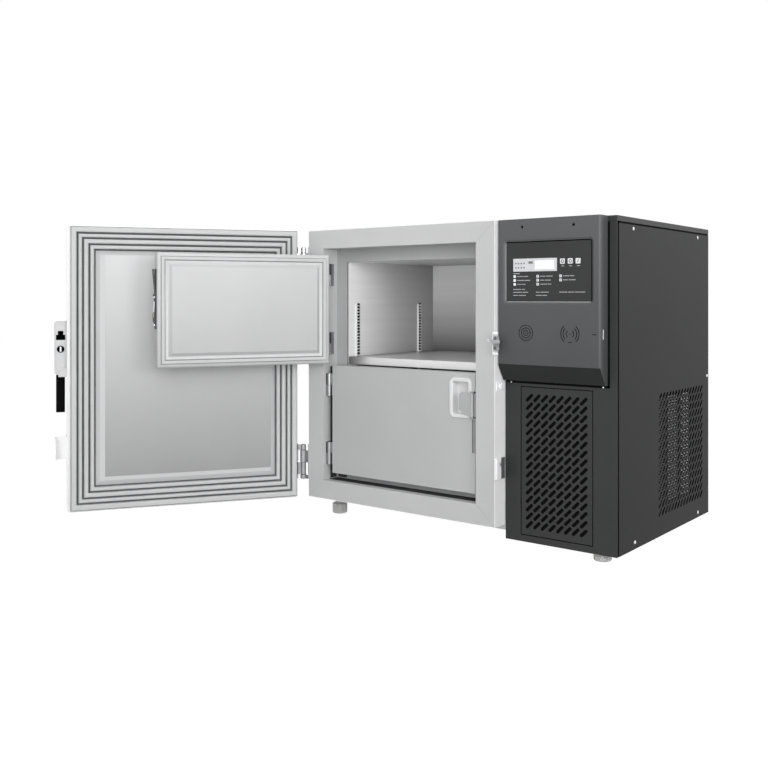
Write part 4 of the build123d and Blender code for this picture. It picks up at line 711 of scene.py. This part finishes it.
# %% [markdown]
# The film lies a little deeper than the window's edge. Light from above leaves the top and right of that step
# in shade and catches the left and the foot, so two dark strips and two pale ones draw it.

# %% The window's shaded and lit edges
shade = plates([(554, 753, 633.6, 636), (750.6, 753, 509, 633.6)], 11.85, 12.1)
piece("window_edge_shade", shade, black_painted_shade_and_joint, "cabinet")
shine = plates([(554, 555.3, 509, 633.6), (555.3, 750.6, 509, 510.3)], 11.85, 12.1)
piece("window_lit_edge", shine, legend_ink_and_edge_highlight, "cabinet")

# %% [markdown]
# The three keys are small pale squares. Two carry a ring and the third a slanted stroke: plain signs that any
# panel could have. They ride on the keys, so they sink with them when a key is pressed.

# %% Marks on the keys
for body, x in KEYS.items():
    face = pillow((x - 5.5, x + 5.5, 587.1, 598.1), 1.6, 10.25, 10.6, 0.2)
    piece(f"{body}_cap", face, key_white, body)
    if body == "key_right":
        mark = prism([(x - 2.2, 589.8), (x - 0.8, 589.8), (x + 2.2, 595.4), (x + 0.8, 595.4)], 10.15, 10.4)
    else:
        ring = turned([(3.4, 0), (3.4, 0.2), (2.1, 0.2), (2.1, 0)], (x, 10.15, 592.6), "y", 32)
        mark = (ring[0], quads(4, 32, ring_u=True))
    piece(f"{body}_mark", mark, panel_film, body)

# %% [markdown]
# The speaker's dotted rings and the card reader's arcs are pad-printed on the bezel in a darker tone. Arcs
# and dots are flat rings of points: a radius, and an angle that runs part of the way round. Below them the
# bezel's chin slopes back under itself, away from the light, so it gets a darker skin of its own.


# %% Speaker and reader marks
def arc_mark(centre, radius, width, start, stop, depth, steps=12):
    """Flat band between radius -+ width / 2 from angle start to stop, a grid of two rings at one depth."""
    v = np.radians(np.linspace(start, stop, steps))
    edges = np.stack([(radius + side * width / 2) * np.stack([np.cos(v), np.sin(v)], 1) for side in (-1, 1)])
    flat = (edges + centre).reshape(-1, 2)
    return np.insert(flat, 1, depth, axis=1), quads(2, steps, ring_v=False).tolist()


BEZEL_FACE = 8.9
SPEAKER, READER = (604, 445), (705, 445)
speaker = [arc_mark(SPEAKER, r, 2.1, a, a + 250 / count, BEZEL_FACE, 4)
           for r, count in ((5.2, 12), (10.5, 22), (16.0, 32)) for a in np.arange(count) * 360 / count]
speaker.append(arc_mark(SPEAKER, 0.7, 1.4, 0, 360, BEZEL_FACE))
reader = [arc_mark(READER, r, 1.9, side - span, side + span, BEZEL_FACE)
          for r, span in ((8.4, 50), (15.2, 45), (20.4, 50)) for side in (0, 180)]
dashes = blocks((703.2, 706.8, BEZEL_FACE, 9.1, 444.2, 445.8), (700.8, 709.2, BEZEL_FACE, 9.1, 427.2, 428.8),
                (754.5, 763.5, BEZEL_FACE, 9.1, 444.0, 445.8))
chin_section = ((8.85, 378.1), (31.8, 342.1), (32.4, 342.5), (9.4, 378.6))
chin = np.array([[x, y, z] for y, z in chin_section for x in (537.0, 771.0)])
chin_faces = quads(4, 2, ring_u=True, ring_v=False).tolist() + [[0, 2, 4, 6], [1, 3, 5, 7]]
piece("bezel_chin", (chin, chin_faces), chin_plastic, "cabinet")
piece("bezel_prints", joined(*speaker, *reader, dashes), bezel_ink, "cabinet")

# %% [markdown]
# ## The outer latch
# The handle case is a white moulding that stands off the door's edge. Its back has a soft raised rim, a black
# key lock with a pale slot, and the socket that the keeper's hook enters when the door shuts.

# %% Rim, lock and grip
rim_section = [(0, -30.2), (0, -29.5), (0.4, -29.2), (1.0, -29.2), (1.4, -29.5), (1.4, -30.2)]
case_rim = carried(rim_section, (543.5, 566.5, 357, 460), 5.0)
piece("case_rim", case_rim, case_plastic, "outer_door", smooth=50)
disc = turned([(7.2, -29.9), (8.2, -29.3), (8.2, -28.2), (7.4, -27.5)], (555, 0, 400), "y", 40)
piece("lock_face", disc, black_plastic, "lock", ["lock_cylinder"], smooth=40)
# Painted shade: a dark box inside the socket.
socket = blocks((544, 566, -54, -53.5, 419, 444), (543.9, 544.2, -54, -32, 419, 444),
                (565.8, 566.1, -54, -32, 419, 444), (544, 566, -54, -32, 443.7, 444),
                (544, 566, -54, -32, 419, 419.3))
piece("socket_shade", socket, black_painted_shade_and_joint, "outer_door")
piece("lock_slot", pillow((553.2, 556.8, 394.0, 406.0), 1.2, -27.3, -28), pale_plastic, "lock")

# %% [markdown]
# ## Inner handles and catches
# Each inner door has a moulded cup with a broad soft rim, where fingers reach in. The cup is one profile: up
# the outside, over the rim and down the inner wall, carried round and closed by a floor. On the door's free
# edge sit a spring leaf, a bright lever, a bronze roller and two screws. On the closed lower door the leaf
# also shows from the front, as a grey strip painted darker for the shade it lies in, with a dark strip of
# painted shade in the gap beside it.


# %% Cups, levers and screws
def finger_cup(bottom):
    """Rim of two quarter rounds r (1 - cos a), r sin a, then a wall straight down to the cup's floor."""
    a = np.radians(np.linspace(0, 90, 5))
    r, width, base, floor = 2.4, 9.0, 11.3, 29.0
    run, rise = r * (1 - np.cos(a)), base - r * np.sin(a)
    rim = np.concatenate([[(0.0, 12.3)], np.stack([run, rise], 1), np.stack([width - run, rise], 1)[::-1],
                          [(width, floor)]])
    steps = 6
    points, faces = carried(rim, (411, 469, bottom + 162, bottom + 250), 12.0, steps, closed=False)
    return points, faces + [list(range(len(points) - 4 * steps, len(points)))]


def edge_catch(bottom):
    """Bright parts on the catch's sloping face: x = 483.3 at 110 mm up, falling to 480.4 at 161 mm."""
    def strip(low, high, thick, y0, y1):
        x = np.interp([low, high], [110, 161], [483.3, 480.4])
        return prism([(x[0], bottom + low), (x[0] + thick, bottom + low), (x[1] + thick, bottom + high),
                      (x[1], bottom + high)], y0, y1)
    head = [(0.4, 482.6), (2.4, 482.0), (3.0, 481.0), (3.0, 479.0)]
    screws = [turned(head, (0, 26, bottom + z), "x", 24) for z in (160, 97)]
    return strip(125, 150, 0.9, 19, 33), strip(113, 124, 0.8, 19, 33), joined(*screws)


for side, bottom in INNER_DOORS:
    body = f"{side}_door"
    piece(f"{side}_finger_cup", finger_cup(bottom), cup_plastic, body,
          [f"{side}_inner_cup"], smooth=50)
    lever, roller, screws = edge_catch(bottom)
    piece(f"{side}_catch_lever", lever, lever_white, body, bevel=0.3)
    piece(f"{side}_catch_roller", roller, bronze, body, bevel=0.3)
    piece(f"{side}_catch_screws", screws, chrome, body, smooth=50)
leaf = blocks((471.5, 479, 10.9, 12.2, 181, 254))
piece("lower_catch_strip", leaf, strip_grey, "lower_door", bevel=0.4)
leaf_gap = blocks((469.9, 471.6, 11.85, 12.1, 181, 254))
piece("lower_catch_gap_shade", leaf_gap, black_painted_shade_and_joint, "lower_door")

# %% [markdown]
# ## Keeper, hasp and standards
# The keeper is a white plate folded round the cabinet's edge. A grey casting with two bolts sits on it, and
# carries a hook that curves up at its tip. The hook is a tube whose centre runs forwards and then lifts: its
# height follows the square of the way past the bend. A dark plate on the hasp, behind the padlock eye, is
# painted shade. The shelf hangs on slotted standards, and the slots are dark plates of painted shade on a
# bright strip.


# %% Hook, plates and slots
def hook(x, y0, y1, z, radius, lift):
    """Bar along Y, t = 0 to half way, then 0 to 1: height z + lift t^2, radius (1 - taper t^3), slim in X."""
    rows, around, slim, taper = 16, 20, 0.75, 0.45
    s = np.linspace(0, 1, rows)
    v = np.linspace(0, 2 * np.pi, around, endpoint=False)
    t = np.clip(2 * s - 1, 0, 1)
    high = z + lift * t ** 2
    thick = radius * (1 - taper * t ** 3)
    points = np.stack([x + slim * thick[:, None] * np.cos(v), (y0 + (y1 - y0) * s)[:, None] + 0 * v,
                       high[:, None] + thick[:, None] * np.sin(v)], -1)
    ends = [list(range(around)), list(range((rows - 1) * around, rows * around))]
    return points.reshape(-1, 3), quads(rows, around).tolist() + ends


keeper_ends = blocks((534, 535.5, -10, 30, 398, 446), (534, 547, -10, -8.5, 398, 403),
                     (534, 547, -10, -8.5, 441, 446))
piece("keeper_plate", keeper_ends, white_paint, "cabinet", ["latch_keeper"], bevel=0.4)
casting = pillow((535.5, 550, 407, 437), 2.0, -9.6, -8.0, 0.6)
piece("keeper_body", casting, keeper_steel, "cabinet", smooth=40)
bolt_head = [(0.3, -11.2), (2.2, -10.9), (3.2, -10.0), (3.4, -9.0)]
bolts = [turned(bolt_head, (541, 0, z), "y", 28) for z in (412.5, 432.5)]
piece("keeper_bolts", joined(*bolts), bolt_and_shade_grey, "cabinet", smooth=60)
piece("keeper_hook", hook(548.7, -8.5, -50, 425.6, 4.2, 4.6), screw_bright, "cabinet", smooth=50)
piece("hasp_painted_shade", blocks((541.8, 542.3, 13.5, 28.05, 133, 178)), bolt_and_shade_grey, "cabinet")
STANDARDS_Y, SLOTS_Z = (92, 352), np.arange(378, 500, 7.6)
# Painted shade: dark plates stand for the shade seen through the standards' slots.
slots = [(84.3, 84.7, y - 5.4, y + 3.8, z, z + 5.0) for y in STANDARDS_Y for z in SLOTS_Z]
piece("standard_slot_shade", blocks(*slots), black_painted_shade_and_joint, "cabinet")

# %% [markdown]
# The liner is a tub of five welded steel sheets. Daylight reaches in from the front and dies away towards the
# back, so the side and back sheets are separate pieces with that shade painted in: the sides darken towards
# the back and the back sheet towards the bottom. A dark line marks the joint round the mouth, and dark strips
# of painted shade line the gap behind the lower inner door.

# %% Liner sheets and the joint round their mouth
left, right, front, back, foot, head = 79.5, 454.5, 55.0, 420.0, 106.5, 606.0
sides = blocks((left - 1, left, front, back, foot - 1, head + 1),
               (right, right + 1, front, back, foot - 1, head + 1), (left, right, front, back, head, head + 1))
piece("liner_sides", sides, side_steel, "cabinet", ["inner_liner"])
back_and_floor = blocks((left - 1, right + 1, back, back + 1, foot - 1, head + 1),
                        (left, right, front, back, foot - 1, foot))
piece("liner_back", back_and_floor, back_steel, "cabinet")
# Painted shade: dark strips in the gaps round the lower inner door, on the sill, the jamb and the flange.
strips = blocks((49, 485.5, 20, 50, 74.4, 74.8), (47.4, 47.8, 27, 50, 76, 350), (52, 80, 51.4, 51.9, 76, 350))
piece("jamb_gap_shade", strips, groove_grey, "cabinet")
mouth = carried([(-0.2, 55.0), (-0.2, 57.2), (0.3, 57.2), (0.3, 55.0)], (left, right, foot, head), steps=1)
piece("liner_joint", mouth, black_painted_shade_and_joint, "cabinet")

# %% [markdown]
# Behind the side vents stand folded posts of galvanised sheet with rows of round holes. Through each slanted
# slot the eye catches two or three spots of that metal where light falls on it, so here the spots are the
# piece:
# flat discs of painted light, brightest in the rear band and dimmest in the front one. A dark screen behind
# the rear louvres stands for the shade inside the housing, and keeps daylight from shining straight through
# the housing and out of these vents.

# %% Spots of painted light on the metal behind the vents
def spots(y0, y1, z0, z1, pitch, radius, x):
    """Hexagonal discs at every pitch between the limits, all in one plane at depth x."""
    y, z = np.meshgrid(np.arange(y0, y1, pitch), np.arange(z0, z1, pitch))
    middle = np.stack([np.full(y.size, x), y.ravel(), z.ravel()], 1)
    v = np.radians(np.arange(6) * 60)
    ring = np.stack([0 * v, radius * np.cos(v), radius * np.sin(v)], 1)
    return (middle[:, None] + ring).reshape(-1, 3), np.arange(6 * y.size).reshape(-1, 6).tolist()


SPOT_PITCH, SPOT_RADIUS, SPOT_DEPTH = 5.97, 1.7, 790.7
SPOT_BANDS = (("front", (252, 282), shaded_vent_metal), ("middle", (314, 364), half_lit_vent_metal),
              ("rear", (394, 440), lit_vent_metal))
for name, band, paint in SPOT_BANDS:
    patch = spots(*band, 72, 300, SPOT_PITCH, SPOT_RADIUS, SPOT_DEPTH)
    piece(f"{name}_vent_lit_spots", patch, paint, "cabinet")
# Painted shade: a dark sheet for the shade inside the housing behind the rear louvres.
piece("louvre_shade_sheet", blocks((566, 762, 561.4, 562.0, 244, 426)), black_painted_shade_and_joint, "cabinet")

# %% [markdown]
# ## Fasteners
# Pan-head screws hold the side panel and the bezel. A pan head is a shallow dome on a short rim. At this size
# its recess would not show, so the dome is left plain.

# %% Screw heads
SIDE_SCREWS = [(121.5, 660.5), (491.6, 660.4), (554.6, 330.6), (492.9, 11.7), (129, 14)]
dome = np.array([(0.2, 1.5), (1.9, 1.3), (3.2, 0.8), (3.9, 0.0)])
heads = [turned(dome + [0, HOUSING_SIDE], (0, y, z), "x", 24) for y, z in SIDE_SCREWS]
heads += [turned(dome * [0.5, -0.9] + [0, HOUSING_FRONT], (x, 0, 338), "y", 20) for x in (550, 762)]
piece("screw_heads", joined(*heads), screw_bright, "cabinet", ["panel_screws"], smooth=60)
